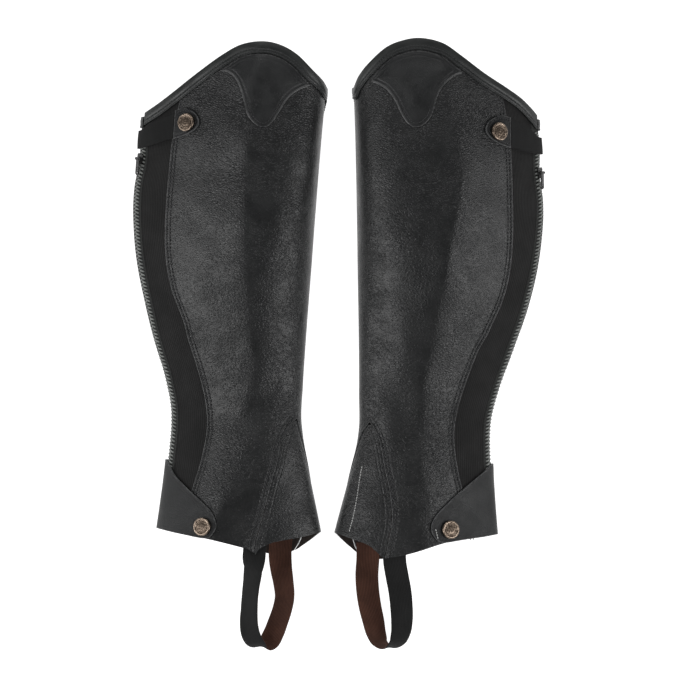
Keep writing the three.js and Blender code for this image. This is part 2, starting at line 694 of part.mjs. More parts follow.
// Elastic foot strap, a flat band swept along its route. Where it is sewn, it lies against
// the inner face of the outer side.
function footStrap(tube, chap) {
  const depth = LEATHER + 3 * GAP + FOOT_STRAP.thickness / 2;
  const route = FOOT_STRAP_ROUTE[chap.side].map((row, k) => {
    if (k >= SEWN_ROWS) return { ...row, place: new THREE.Vector3(row.across, row.along, row.up) };
    const { origin, normal, round } = frameOn(tube, tube.turnAt(row.across, row.along), row.along);
    const tilt = THREE.MathUtils.radToDeg(Math.atan2(round.z, round.x));
    return { tilt, place: origin.addScaledVector(normal, -depth) };
  });
  const curve = new THREE.CatmullRomCurve3(route.map((row) => row.place), false, "centripetal");
  const [w, t] = [FOOT_STRAP.width / 2, FOOT_STRAP.thickness / 2];
  const outline = [[-w, -t], [w, -t], [w, t], [-w, t]];
  const steps = (route.length - 1) * 2;
  const rings = [];
  for (let i = 0; i <= steps; i++) {
    const row = Math.min(Math.floor(i / 2), route.length - 2);
    const tilt = rad(lerp(route[row].tilt, route[row + 1].tilt, i / 2 - row));
    const ahead = curve.getTangent(i / steps);
    const x = new THREE.Vector3(Math.cos(tilt), 0, Math.sin(tilt));
    x.addScaledVector(ahead, -x.dot(ahead)).normalize();
    const y = ahead.clone().cross(x);
    const middle = curve.getPoint(i / steps);
    rings.push(outline.map(([u, v]) => middle.clone().addScaledVector(x, u).addScaledVector(y, v)));
  }
  return ringGeometry(rings, outline);
}

// ---------------------------------------------------------------- zip slider and pull

// Both are drawn with x across the zip, y up the leg and z away from it, and the pin's
// middle at the origin.
function solidGeometry(solid) {
  const { vertProperties, triVerts } = solid.getMesh();
  return indexed([...vertProperties], [...triVerts]);
}

function crossBar(radius, length) {
  return Manifold.cylinder(length, radius, radius, PIN.sides, true).rotate([0, 90, 0]);
}

// The slider straddles the coil; two ears on it carry the pull's pin.
function sliderGeometry() {
  const { length, width, body, ear } = SLIDER;
  const [x, y, taper, corner] = [width / 2, length / 2, 1.2, 1.6];
  const plate = [
    [-x + taper, -y], [x - taper, -y], [x, y - corner],
    [x - corner / 2, y], [-x + corner / 2, y], [-x, y - corner],
  ];
  const base = new CrossSection([plate]).extrude(body).translate([0, 0, -PIN.height]);
  const earAt = PULL.width / 2 + GAP + ear / 2;
  const knuckle = PIN.radius + PIN_WALL;
  const post = Manifold.cube([ear, 2 * knuckle, PIN.height - 0.1], true)
    .translate([0, 0, -(PIN.height - 0.1) / 2]);
  const ears = [-1, 1].map((way) =>
    crossBar(knuckle, ear).add(post).translate([way * earAt, 0, 0]),
  );
  const pin = crossBar(PIN.radius, 2 * earAt);
  return solidGeometry(Manifold.union([base, ...ears, pin]));
}

// The pull lies down the leg from the pin, with a hole at its rounded end.
function pullGeometry() {
  const { length, width, thickness, lean, hole } = PULL;
  const reach = length - width / 2; // to the middle of the rounded end
  const disc = (radius, height) =>
    Manifold.cylinder(height, radius, radius, PIN.sides, true).translate([0, -reach, 0]);
  const eye = crossBar(PIN.radius + GAP + PIN_WALL, width);
  const blade = Manifold.cube([width, reach, thickness], true).translate([0, -reach / 2, 0]);
  const bore = crossBar(PIN.radius + GAP, 2 * width);
  const plain = eye.add(blade).add(disc(width / 2, thickness));
  return solidGeometry(plain.subtract(disc(hole, 2 * thickness)).subtract(bore).rotate([lean, 0, 0]));
}

// The group at the pin that carries them both.
function zipHardware(tube, add) {
  const frame = frameOn(tube, ZIP_TURN, SLIDER.along);
  const seat = frame.origin.addScaledVector(frame.normal, COIL.face + SLIDER.clear + PIN.height);
  const place = new THREE.Matrix4().makeBasis(frame.round, frame.up, frame.normal).setPosition(seat);
  add("zip_slider", sliderGeometry().applyMatrix4(place), "slider");
  add("zip_pull", pullGeometry().applyMatrix4(place), "slider");
}

// ---------------------------------------------------------------- the pair

const root = new THREE.Group();
for (const chap of CHAPS) {
  const tube = makeTube(chap);
  const leg = new THREE.Group();
  leg.position.set(chap.ankle[0], chap.ankle[1], 0);
  leg.rotation.z = rad(chap.lean);
  if (chap.mirrored) leg.scale.x = -1;
  const add = (name, geometry, finish) => leg.add(named(chap.side + "_" + name, geometry, finish));
  const [main, stretch] = [mainPatch(tube), gorePatch(tube)];
  const [tapeOuter, tapeInner] = [tapePatch(tube, 1), tapePatch(tube, -1)];
  const leather = { face: 0, wall: LEATHER };
  add("main_leather", layered(tube, main, leather), "leather");
  add("instep_gusset", gusset(tube), "leather");
  add("stretch_gore", layered(tube, stretch, GORE), "gore");
  add("zip_tape_outer", layered(tube, tapeOuter, TAPE), "tape");
  add("zip_tape_inner", layered(tube, tapeInner, TAPE), "tape");
  add("zip_coil", layered(tube, coilPatch(tube), COIL), "coil");
  const topEdge = [tapeOuter, stretch, main, tapeInner].flatMap((panel) => panel.topRow);
  add("top_binding", binding(tube, topEdge), "binding");
  add("knee_patch", kneePatch(tube, chap), "patch");
  const calf = CALF_STRAP[chap.side];
  add("calf_elastic", strap(tube, calf.elastic, STRAP_TAIL, 7, STRAP.elastic), "elastic");
  add("calf_tab", strap(tube, calf.tab, 0, 6, STRAP.leather), "leather");
  add("calf_snap", snapCap(tube, calf.snap), "brass");
  const wrap = strap(tube, ANKLE_STRAP[chap.side], STRAP_TAIL, 14, STRAP.leather);
  add("ankle_strap", wrap, "leather");
  add("ankle_snap", snapCap(tube, chap.ankleSnap), "brass");
  add("foot_strap", footStrap(tube, chap), "elastic");
  zipHardware(tube, add);
  root.add(leg);
}

export default root;
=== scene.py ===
"""A pair of riding half chaps, zipped shut and lying on their inner sides.

Each chap is a leg tube of black grain leather with a stretch gore and a zip behind the
calf, a gusset over the instep, a bound knee edge with a knee patch, snap straps at the
calf and the ankle, and an elastic strap that passes under the foot.

Shapes are worked out in millimetres in a leg frame: "across" runs from the back of the
calf (negative) to the shin line (0), "along" runs up the leg from the front of the ankle
and "up" is the height. A place on the leg tube is a pair (turn, along): turn is 0 at the
back edge, 1 on the crest of the outer side, 2 at the shin fold and 3 at the back again.
"""

import functools
import math
import random
import bmesh  # noqa: E402
import bpy  # noqa: E402
import numpy as np  # noqa: E402
from bpy.props import (  # noqa: E402
    FloatProperty,
    FloatVectorProperty,
    PointerProperty,
)
from mathutils import Matrix, Vector  # noqa: E402
from mathutils.kdtree import KDTree  # noqa: E402


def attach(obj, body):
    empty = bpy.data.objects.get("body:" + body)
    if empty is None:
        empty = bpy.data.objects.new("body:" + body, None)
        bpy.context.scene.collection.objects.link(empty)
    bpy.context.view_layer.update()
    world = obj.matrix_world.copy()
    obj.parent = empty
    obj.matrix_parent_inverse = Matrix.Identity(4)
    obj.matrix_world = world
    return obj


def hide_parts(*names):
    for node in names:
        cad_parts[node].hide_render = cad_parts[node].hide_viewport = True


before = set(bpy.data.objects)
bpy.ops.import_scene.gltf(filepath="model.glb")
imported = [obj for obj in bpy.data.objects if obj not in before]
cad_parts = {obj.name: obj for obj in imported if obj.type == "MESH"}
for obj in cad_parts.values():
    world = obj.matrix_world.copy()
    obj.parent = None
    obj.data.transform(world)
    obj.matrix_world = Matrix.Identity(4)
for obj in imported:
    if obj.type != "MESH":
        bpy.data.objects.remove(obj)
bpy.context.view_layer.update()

bl_info = {
    "name": "Half Chaps",
    "version": (1, 0, 0),
    "blender": (4, 5, 0),
    "location": "View3D > Sidebar > Half Chaps",
    "description": "Builds a pair of leather half chaps on their packed frame",
    "category": "Add Mesh",
}

MM = 0.001

# --- pattern tables, in mm

GAP = 0.3  # between neighbouring pieces
ZIP_TURN = 0.1  # the zip runs just above the back edge
STRAP_TAIL = 10.5  # straps start this far under the zip, on the inner side
FLAT_FROM, FLAT_TO = 2.25, 2.8  # turns between which the inner side lies flat
APEX_ALONG = 2.6  # how far up the leg the main leather's notch for the gusset reaches
TIP_GAP = 1.8  # from there down to the gusset's own tip
# How far from a cut edge the columns that shape its turned lip and channels lie.
BESIDE_EDGE = np.array([0, 0.5, 1, 1.6, 2.1, 2.6, 3.4, 4.4, 5.1, 5.8, 7])
# Half the gap at the gusset's far seam, in turns: round the shin, and on the flat inner side.
FAR_GAP = {"round": 0.004, "flat": 0.0008, "start": 45, "over": 40}
TOP_LIFT = {"height": 2.4, "start": 202.0, "over": 22.0}
CORNER_BACK, CORNER_FRONT, ROUND = 11.0, 20.0, 0.55
BACK_FOLD = 9.0
TAPE_SINK = -0.6  # height of the gore and the zip tape over the leather's outer face
COIL_HALF = 2.8
TAPE_START = COIL_HALF + GAP
TAPE_END = TAPE_START + 3.4
PANEL_START = TAPE_END + GAP
BINDING_START = 0.5  # the binding's ends all but meet above the zip
BINDING_WIDTH = 8.5
BINDING_STAND = GAP + 0.25  # of the binding's inner face over the leather
ELASTIC_STAND, STRAP_STAND = 2.1, 2.3  # heights of the straps' outer faces over the leg
SNAP_SEAT = 2.6  # height of a snap's seat over the leg


def rows(names, *lines):
    """A table as named columns."""
    return dict(zip(names.split(), np.array(lines, float).T))


SECTIONS = rows(
    "along back front left_crest right_crest height back_height front_height rear flat shoulder",
    (-125, -117, 33, -72, -52, 41, 9, 12, 0.3, 0.5, 0.7),
    (-80, -113.5, 20.3, -61, -45, 42, 9, 15, 0.3, 0.5, 0.7),
    (-40, -111.5, 9.2, -47, -50, 43, 9, 18, 0.3, 0.48, 0.7),
    (0, -112, 0.2, -39, -49, 44, 9, 20, 0.3, 0.4, 0.68),
    (30, -119.7, -0.9, -41, -53, 47, 9, 21, 0.28, 0.32, 0.66),
    (60, -131.2, -1.2, -46, -58, 52, 9.5, 22, 0.24, 0.25, 0.66),
    (95, -143.2, -1.2, -51, -66, 58, 10, 22, 0.2, 0.25, 0.66),
    (130, -152.5, -1, -55, -73, 63, 10, 22, 0.18, 0.35, 0.72),
    (165, -157.6, -1, -58, -80, 66, 10, 22, 0.18, 0.55, 0.82),
    (190, -158.3, -0.9, -60, -85, 67, 10, 22, 0.19, 0.68, 0.88),
    (212, -155.6, -0.8, -60.5, -87, 67, 10, 22, 0.2, 0.72, 0.9),
    (232, -156, -0.6, -61, -86, 66.4, 10, 22, 0.2, 0.72, 0.9),
    (250, -154.8, -0.4, -61, -83, 65, 10, 22, 0.2, 0.7, 0.88),
    (280, -153, 0.2, -59, -76, 62, 10, 22, 0.2, 0.62, 0.82),
    (335, -150, 0, -54, -67, 55, 10, 22, 0.2, 0.55, 0.75),
)
TOP_OUTER = rows(
    "across left right",
    (-160, 245.6, 256.4), (-155, 249.4, 260), (-149, 254.2, 267.2), (-140, 261.2, 276.2),
    (-128, 271.6, 284.8), (-108, 289.6, 298), (-89, 305.2, 312.6), (-74, 314.8, 323),
    (-56, 318.8, 327.6), (-41, 316.8, 326), (-27, 310, 320.4), (-13, 297.8, 308.2),
    (-4, 289.6, 297), (0.5, 283, 287),
)
TOP_INNER = rows(
    "across left right",
    (-160, 248, 258), (-100, 253, 262), (-40, 257, 264), (-14, 262, 268),
    (-3, 272, 277), (0.5, 283, 287),
)
HEM_OUTER = rows(
    "across left right",
    (-122, -98, -93.1), (-100, -102, -96.2), (-80, -104.2, -98.8), (-66, -106.2, -102),
    (-50, -109, -107), (-38, -111.4, -110.2), (-31, -114, -111.6), (-17, -117, -113),
)
HEM_GUSSET = rows(
    "across left right",
    (-33, -118, -114.5), (-28, -111, -114.2), (-18, -104.8, -112.2), (-11.5, -102.7, -106.4),
    (-6, -101.2, -101.8), (6, -98.3, -97), (18, -94.6, -92.6), (25, -91.6, -89.6),
)
HEM_INNER = rows(
    "across left right",
    (-122, -96.2, -91.6), (-100, -100, -95), (-60, -105.4, -102.4), (-31, -112.8, -111.4),
    (-15, -114.6, -114.4), (0, -111, -110.4), (10, -104.6, -103.6), (25, -91.6, -89.6),
)
GORE_SEAM = rows(
    "along across",
    (-125, -103), (-85, -94.5), (-60, -88), (-35, -82.5), (-10, -80.2), (12, -83.3),
    (32, -89.5), (55, -98.3), (80, -109.5), (105, -121), (130, -127.6), (160, -130.4),
    (200, -130.5), (235, -129.4), (262, -126), (300, -119),
)
GUSSET_NEAR = rows(
    "along left right",
    (-125, -31, -17), (-106, -31.5, -20.8), (-92, -28.7, -24), (-84, -26.8, -25.4),
    (-72, -24.6, -25.6), (-52, -21, -23.2), (-36, -17.4, -19.8), (-22, -15.8, -17.6),
    (-10, -12, -14.6), (-2, -7.8, -11), (2.6, -3.8, -8.1),
)
GUSSET_FAR = rows(
    "along turn",
    (-125, 2.34), (-95, 2.22), (-75, 2.11), (-55, 2.03), (-36, 1.97), (-20, 1.9), (-8, 1.82),
)
KNEE_EDGE = rows(
    "across left right",
    (-94, 292.8, 299.5), (-84, 291.6, 296), (-75.5, 285, 289), (-69.5, 271.5, 279.5),
    (-64.8, 257.5, 264.5), (-58.6, 250, 256), (-51.2, 247, 253), (-44.4, 250, 255.3),
    (-38.4, 260, 264), (-32, 272, 277.5), (-24, 280, 287), (-12, 286.5, 293),
)
ANKLE_STRAP = {
    "left": rows(
        "across low high",
        (-118, -99.2, -33.5), (-111.5, -100.4, -40.5), (-104.3, -101.6, -52.6),
        (-91.1, -103.4, -64.6), (-81.3, -104.6, -72.4), (-74, -104.8, -78.4),
        (-70.2, -103, -82.3), (-67.6, -99.6, -86.8), (-65.8, -95.6, -91.6),
    ),
    "right": rows(
        "across low high",
        (-118, -94, -28), (-112, -94.9, -33.2), (-105.3, -96, -40), (-95, -97.3, -48.4),
        (-86.4, -98.4, -55.3), (-80.1, -99.3, -60.4), (-70.6, -100.4, -69.5),
        (-65.5, -99.2, -74.6), (-61.5, -95.2, -79.9), (-59.2, -90.4, -85.4),
    ),
}
CALF_ELASTIC = {
    "left": rows(
        "across low high",
        (-160, 221.3, 236.4), (-154.5, 222.4, 237.8), (-153, 222.8, 238.6),
        (-145, 225.4, 245.2), (-125.7, 232.8, 254.4),
    ),
    "right": rows(
        "across low high",
        (-160, 229.5, 243), (-154.5, 230, 244.4), (-153, 230.2, 245.4),
        (-145, 231.6, 253.2), (-130.4, 235.4, 259.6),
    ),
}
CALF_TAB = {
    "left": rows(
        "across low high",
        (-125.3, 232.4, 256.6), (-118, 235, 259), (-111.6, 238.2, 257.2), (-107.2, 242, 253.6),
        (-105, 245.8, 249.6),
    ),
    "right": rows(
        "across low high",
        (-130, 235, 260.8), (-122.5, 237.4, 262.3), (-116, 241.1, 260), (-111.5, 245, 256.5),
        (-109.3, 248.7, 252.6),
    ),
}
# Foot strap routes; the first two rows lie against the inner face of the outer side.
FOOT_STRAP = {
    "left": rows(
        "across along up tilt",
        (-31.4, -99, 0, 0), (-31.4, -115, 0, 0), (-31.8, -128, 32.5, 38), (-32.4, -140, 28, 45),
        (-32.8, -152, 24.5, 46), (-32.6, -164, 21.5, 44), (-32, -175, 18.6, 38),
        (-29.6, -185, 15.4, 30), (-25, -191.5, 12, 24), (-19.4, -193.6, 9, 22),
        (-14.2, -190, 7, 24), (-10.4, -182, 6.6, 28), (-7.4, -172, 7, 31),
        (-4.6, -161, 7.4, 33), (-3.4, -150, 7.4, 33), (-5.4, -138, 6.8, 28),
        (-8.2, -126, 5.8, 18), (-10, -114, 4, 4), (-10.2, -100, 3.2, 0),
    ),
    "right": rows(
        "across along up tilt",
        (-28, -99, 0, 0), (-27.8, -115, 0, 0), (-29.8, -128, 31.5, 4), (-32.2, -142, 26, 8),
        (-33.4, -156, 21.5, 13), (-33.6, -167, 18, 20), (-32.6, -177, 15.4, 30),
        (-29, -185.5, 13, 42), (-22, -189.4, 11, 52), (-15.2, -186, 9.4, 44),
        (-11.4, -177.5, 7.2, 30), (-9.2, -167, 4.8, 18), (-6.6, -155, 3.4, 10),
        (-4.8, -142, 2.6, 5), (-4.2, -128, 2.8, 3), (-5.2, -114, 3.9, 2), (-5.4, -100, 4, 2),
    ),
}
# Centre front of the right chap's gusset, marked by one pale row of stitches.
FRONT_ROW = rows(
    "along across",
    (-92.1, 11.1), (-77.6, 6.9), (-60.5, 3.4), (-43.4, 0.6), (-32.3, -1.7),
)
GORE_STITCHES = {"left": 262.0, "right": 268.0}  # how far up the leg the gore's rows reach
# Soft troughs (negative) and swells in the outer side: the form's own, the same for both chaps.
FOLDS = rows(
    "across along angle length width height",
    (-30, 22, 62, 34, 11, -1.6), (-58, -2, 8, 30, 13, -1.5), (-62, 62, 72, 46, 15, -1.4),
    (-92, 118, 84, 60, 20, 1.6), (-30, 150, 88, 70, 16, 1.2), (-74, 205, 28, 42, 17, -1.2),
)

CHAPS = {
    "left": {
        "mirrored": False,
        "ankle": (-32.176, -65.313),
        "lean": -4.2,
        "back_shift": 0.8,
        "front_shift": 0.0,
        "seam_shift": 2.0,
        "ankle_snap": (-76.2, -95.2),
        "calf_snap": (-114.4, 246.6),
    },
    "right": {
        "mirrored": True,
        "ankle": (17.924, -68.713),
        "lean": 0.73,
        "back_shift": -1.0,
        "front_shift": 1.5,
        "seam_shift": -2.0,
        "ankle_snap": (-74.3, -89.5),
        "calf_snap": (-119.4, 248.4),
    },
}


# --- what a user may change


def length(name, description, default):
    return FloatProperty(name=name, description=description, default=default, unit="LENGTH")


def tint(name, description, default):
    return FloatVectorProperty(
        name=name, description=description, default=default, subtype="COLOR", min=0, max=1
    )


class HalfChapSizes(bpy.types.PropertyGroup):
    leather: length("Leather", "Thickness of the grain leather", 0.0018)
    knit: length("Gore", "Thickness of the stretch gore", 0.0014)
    patch: length("Knee patch", "Thickness of the knee patch", 0.0013)
    strap: length("Straps", "Thickness of the snap straps", 0.0018)
    ribbon: length("Foot strap", "Width of the elastic foot strap", 0.0197)
    stitch: length("Stitch", "Pitch of the topstitching", 0.0031)
    snap: length("Snap", "Radius of the snap caps", 0.0077)
    grain: length("Grain", "Size of the pebbles in the leather's grain", 0.0014)


class HalfChapColours(bpy.types.PropertyGroup):
    leather: tint("Leather", "Grain leather", (0.0105, 0.0112, 0.0118))
    binding: tint("Binding", "Smooth leather of the bound edge", (0.0150, 0.0170, 0.0166))
    gore: tint("Gore", "Stretch gore", (0.0175, 0.0172, 0.0172))
    elastic: tint("Elastic", "Outer face of the elastic straps", (0.0122, 0.0124, 0.0126))
    brown: tint("Brown", "Inner face of the foot strap", (0.10, 0.042, 0.027))
    thread: tint("Thread", "Topstitching", (0.032, 0.032, 0.034))
    brass: tint("Brass", "Antique brass of the snap caps", (0.21, 0.165, 0.13))


def sizes():
    return bpy.context.scene.half_chap_sizes


def colours():
    return bpy.context.scene.half_chap_colours


# --- small maths


def lerp(a, b, t):
    return a + (b - a) * t


def smooth(x, start, over):
    """0 before start, 1 after start + over, and an easy curve between them."""
    t = np.clip((np.asarray(x, float) - start) / over, 0, 1)
    return t * t * (3 - 2 * t)


def unit(v):
    return v / np.maximum(np.linalg.norm(v, axis=-1, keepdims=True), 1e-12)


class Track:
    """A smooth curve through a table's first column and a named one, level past its ends."""

    def __init__(self, table, name):
        at = next(iter(table.values()))
        order = np.argsort(at)
        self.x, self.y = at[order], table[name][order]
        last = len(self.x) - 1
        before = np.maximum(np.arange(last + 1) - 1, 0)
        after = np.minimum(np.arange(last + 1) + 1, last)
        self.slope = (self.y[after] - self.y[before]) / (self.x[after] - self.x[before])

    def __call__(self, at):
        at = np.clip(at, self.x[0], self.x[-1])
        i = np.clip(np.searchsorted(self.x, at, side="right") - 1, 0, len(self.x) - 2)
        span = self.x[i + 1] - self.x[i]
        t = (at - self.x[i]) / span
        t2, t3 = t * t, t * t * t
        return (
            (2 * t3 - 3 * t2 + 1) * self.y[i]
            + (t3 - 2 * t2 + t) * span * self.slope[i]
            + (3 * t2 - 2 * t3) * self.y[i + 1]
            + (t3 - t2) * span * self.slope[i + 1]
        )


def run_of(points):
    """How far along a row of points each one lies."""
    return np.concatenate([[0], np.linalg.norm(np.diff(points, axis=0), axis=1).cumsum()])


def bend(a, b, c, d, t):
    """A cubic curve with end points a and d and handles b and c."""
    s = 1 - t
    return s**3 * a + 3 * s * s * t * b + 3 * s * t * t * c + t**3 * d


# --- the leg tube


class LegTube:
    """The surface of one leg, as points over (turn, along)."""

    LEVELS = np.arange(-140.0, 346.0, 1.0)

    def __init__(self, side):
        self.side, self.chap = side, CHAPS[side]
        self.section_tracks = {
            name: Track(SECTIONS, name) for name in SECTIONS if name != "along"
        }
        self.creases = [dict(zip(FOLDS, line)) for line in zip(*FOLDS.values())]
        dice = random.Random(side)
        self.waves = []
        for _ in range(22):
            length, way = dice.uniform(20, 64), dice.uniform(0, math.pi)
            k = 2 * math.pi / length
            self.waves.append((
                0.0042 * length**0.8, k * math.cos(way), k * math.sin(way), dice.uniform(0, 6.28),
            ))
        top_outer = Track(TOP_OUTER, side)
        top_inner = Track(TOP_INNER, side)
        hem_outer = Track(HEM_OUTER, side)
        hem_inner = Track(HEM_INNER, side)
        hem_gusset = Track(HEM_GUSSET, side)

        def by_side(outer, inner):
            def edge(turn, along):
                x = self.across(turn, along)
                on_outer = (np.asarray(turn) >= 0) & (np.asarray(turn) <= 2)
                return np.where(on_outer, outer(x), inner(x))

            return edge

        self.top = by_side(top_outer, top_inner)
        self.hem = by_side(hem_outer, hem_inner)

        def gusset_hem(turn, along):
            """The hem round the front of the ankle, passing from one edge to the other."""
            x = self.across(turn, along)
            return lerp(hem_gusset(x), hem_inner(x), smooth(np.asarray(turn), 1.85, 0.3))

        self.gusset_hem = gusset_hem
        self.top_outer = top_outer
        seam = Track(GORE_SEAM, "across")
        shift = self.chap["seam_shift"]
        self.gore_seam = lambda along: seam(along) + shift * smooth(along, 60, 20)
        self.gusset_near = Track(GUSSET_NEAR, side)
        apex = self.gusset_near(np.array(APEX_ALONG))
        self.apex_turn = float(self.turn_at(apex, np.array(APEX_ALONG)))
        self.far_seam = Track({
            "along": np.append(GUSSET_FAR["along"], APEX_ALONG),
            "turn": np.append(GUSSET_FAR["turn"], self.apex_turn),
        }, "turn")

    def section(self, turn, along):
        at = {name: track(along) for name, track in self.section_tracks.items()}
        back = at["back"] + self.chap["back_shift"] * smooth(along, 60, 40)
        front = at["front"] + self.chap["front_shift"] * smooth(along, -20, 40)
        crest, height = at[f"{self.side}_crest"], at["height"]
        floor = TOP_LIFT["height"] * smooth(along, TOP_LIFT["start"], TOP_LIFT["over"])
        back_height, front_height = at["back_height"] + floor, at["front_height"] + floor
        front_foot, back_foot = front - CORNER_FRONT, back + CORNER_BACK
        stretches = [
            (0, 1, (back, back, lerp(crest, back, at["rear"]), crest),
             (back_height, back_height + BACK_FOLD, height, height)),
            (1, 2, (crest, lerp(crest, front, at["flat"]), front, front),
             (height, height, lerp(front_height, height, at["shoulder"]), front_height)),
            (2, FLAT_FROM, (front, front, lerp(front_foot, front, 1 - ROUND), front_foot),
             (front_height, lerp(front_height, floor, ROUND), floor, floor)),
            (FLAT_FROM, FLAT_TO, None, None),
            (FLAT_TO, 3, (back_foot, lerp(back_foot, back, ROUND), back, back),
             (floor, floor, lerp(back_height, floor, ROUND), back_height)),
        ]
        across, up = np.zeros_like(turn), np.zeros_like(turn)
        for start, stop, xs, zs in stretches:
            t = np.clip((turn - start) / (stop - start), 0, 1)
            if xs is None:
                x, z = lerp(front_foot, back_foot, t), floor
            else:
                x, z = bend(*xs, t), bend(*zs, t)
            inside = (turn >= start) & (turn <= stop)
            across, up = np.where(inside, x, across), np.where(inside, z, up)
        return across, up

    def across(self, turn, along):
        turn, along = np.broadcast_arrays(np.asarray(turn, float), np.asarray(along, float))
        return self.section(np.mod(turn, 3), along)[0]

    def fold_height(self, across, along):
        total = 0
        for height, kx, ky, phase in self.waves:
            total = total + height * np.sin(kx * across + ky * along + phase)
        for f in self.creases:
            dx, dy = across - f["across"], along - f["along"]
            c, s = math.cos(math.radians(f["angle"])), math.sin(math.radians(f["angle"]))
            lengthwise, crosswise = (dx * c + dy * s) / f["length"], (dy * c - dx * s) / f["width"]
            total = total + f["height"] * np.exp(-(lengthwise**2) - crosswise**2)
        return total

    def point(self, turn, along):
        turn, along = np.broadcast_arrays(np.asarray(turn, float), np.asarray(along, float))
        turn = np.mod(turn, 3)
        across, up = self.section(turn, along)
        outer = smooth(turn, 0.25, 0.35) * (1 - smooth(turn, 1.5, 0.35))
        up = up + outer * self.fold_height(across, along)
        return np.stack([across, along, up], axis=-1)

    def normal(self, turn, along):
        round_ = self.point(turn + 1e-4, along) - self.point(turn - 1e-4, along)
        up = self.point(turn, along + 0.05) - self.point(turn, along - 0.05)
        return unit(np.cross(round_, up))

    def off(self, turn, along, distance):
        """Points that stand off the tube."""
        return self.point(turn, along) + self.normal(turn, along) * np.asarray(distance)[..., None]

    def turn_at(self, across, along):
        """The turn on the outer side at a place across."""
        low, high = np.zeros_like(along, float), np.full_like(along, 2.0, float)
        for _ in range(26):
            middle = (low + high) / 2
            short = self.across(middle, along) < across
            low, high = np.where(short, middle, low), np.where(short, high, middle)
        return (low + high) / 2

    def per_turn(self, turn, along):
        return (self.point(turn + 1e-3, along) - self.point(turn - 1e-3, along)) / 2e-3

    def steps(self, turn, along, move):
        """The places reached by small moves along the surface."""
        for _ in range(4):
            per_turn = self.per_turn(turn, along)
            per_along = (self.point(turn, along + 0.05) - self.point(turn, along - 0.05)) / 0.1
            tt, ta = (per_turn**2).sum(-1), (per_turn * per_along).sum(-1)
            aa = (per_along**2).sum(-1)
            mt, ma = (move * per_turn).sum(-1) / 4, (move * per_along).sum(-1) / 4
            det = tt * aa - ta * ta
            turn = turn + (mt * aa - ma * ta) / det
            along = along + (ma * tt - mt * ta) / det
        return turn, along

    def step_round(self, turn, along, distance):
        return turn + distance / np.linalg.norm(self.per_turn(turn, along), axis=-1)

    def line(self, turn_of):
        """A line along the leg, looked up at any level."""
        turns = turn_of(self.LEVELS)
        return lambda along: np.interp(along, self.LEVELS, turns)

    def line_at(self, across_of):
        return self.line(lambda along: self.turn_at(across_of(along), along))

    def upright(self, across):
        return self.line_at(lambda along: np.full_like(along, across))

    def beside(self, seam, gap):
        """A line a gap across from a seam on the outer side."""
        return self.line_at(lambda along: seam(along) + gap)

    def from_zip(self, distance):
        """A line at a distance round the tube from the middle of the zip."""
        steps = np.sign(distance) * 0.004 * np.arange(0, 90)
        turns = ZIP_TURN + steps[None, :]
        points = self.point(turns, self.LEVELS[:, None])
        lengths = np.linalg.norm(np.diff(points, axis=1), axis=2).cumsum(axis=1)
        lengths = np.concatenate([np.zeros((len(lengths), 1)), lengths], axis=1)
        found = np.array([np.interp(abs(distance), a, turns[0]) for a in lengths])
        return lambda along: np.interp(along, self.LEVELS, found)

    def gusset_far(self, along, way):
        """The gusset's far seam: way is 1 on the panel's side of it and -1 on the gusset's."""
        flat = smooth(-along, FAR_GAP["start"], FAR_GAP["over"])
        return self.far_seam(along) + way * lerp(FAR_GAP["round"], FAR_GAP["flat"], flat)

    def world(self, points):
        """Leg frame in millimetres to the part's frame in metres."""
        lean = math.radians(self.chap["lean"])
        across = points[..., 0] * (-1 if self.chap["mirrored"] else 1)
        along = points[..., 1]
        x = self.chap["ankle"][0] + across * math.cos(lean) - along * math.sin(lean)
        y = self.chap["ankle"][1] + across * math.sin(lean) + along * math.cos(lean)
        return np.stack([x, y, points[..., 2]], axis=-1) * MM

    def place(self, turn, along, stand=0.0):
        """Points that stand off the tube, in the part's frame."""
        return self.world(self.off(turn, along, stand))


@functools.cache
def tube_of(side):
    return LegTube(side)


# --- sheets on the tube


class Cut:
    """A piece as it is cut: places on the leg tube joined by quads."""

    def __init__(self, tube, *places):
        self.tube = tube
        self.turn, self.along, self.u, self.faces = [], [], [], []
        self.count = 0
        self.last_u = 0
        self.width = 0  # of the widest row, measured straight round the leg
        self.seams = None
        if places:
            self.add(*places)

    def add(self, turn, along, reuse=None, start=0):
        """Adds a grid of places by column and row; reuse gives known indices of column 0, and
        start the pattern's place across there."""
        columns, rows_ = turn.shape
        index = np.arange(columns * rows_).reshape(columns, rows_) + self.count
        steps = np.diff(self.tube.point(turn, along), axis=0)
        self.width += np.linalg.norm(steps[..., ::2], axis=2).sum(axis=0).max()
        step_u = np.linalg.norm(steps, axis=2).cumsum(axis=0)
        u = np.concatenate([np.zeros((1, rows_)), step_u]) + start
        self.last_u = u[-1]
        keep = np.ones((columns, rows_), bool)
        if reuse is not None:
            known = reuse >= 0
            keep[0, known] = False
            numbers = np.cumsum(keep.ravel()) - 1 + self.count
            index = numbers.reshape(columns, rows_)
            index[0, known] = reuse[known]
        self.turn.append(turn[keep])
        self.along.append(along[keep])
        self.u.append(u[keep])
        self.count += int(keep.sum())
        a, b = index[:-1, :-1], index[1:, :-1]
        c, d = index[1:, 1:], index[:-1, 1:]
        self.faces.append(np.stack([a, b, c, d], axis=-1).reshape(-1, 4))
        return index

    def merge(self, places):
        """Makes several places one."""
        one = places[0]
        for faces in self.faces:
            faces[np.isin(faces, places)] = one

    def done(self):
        return map(np.concatenate, (self.turn, self.along, self.u, self.faces))


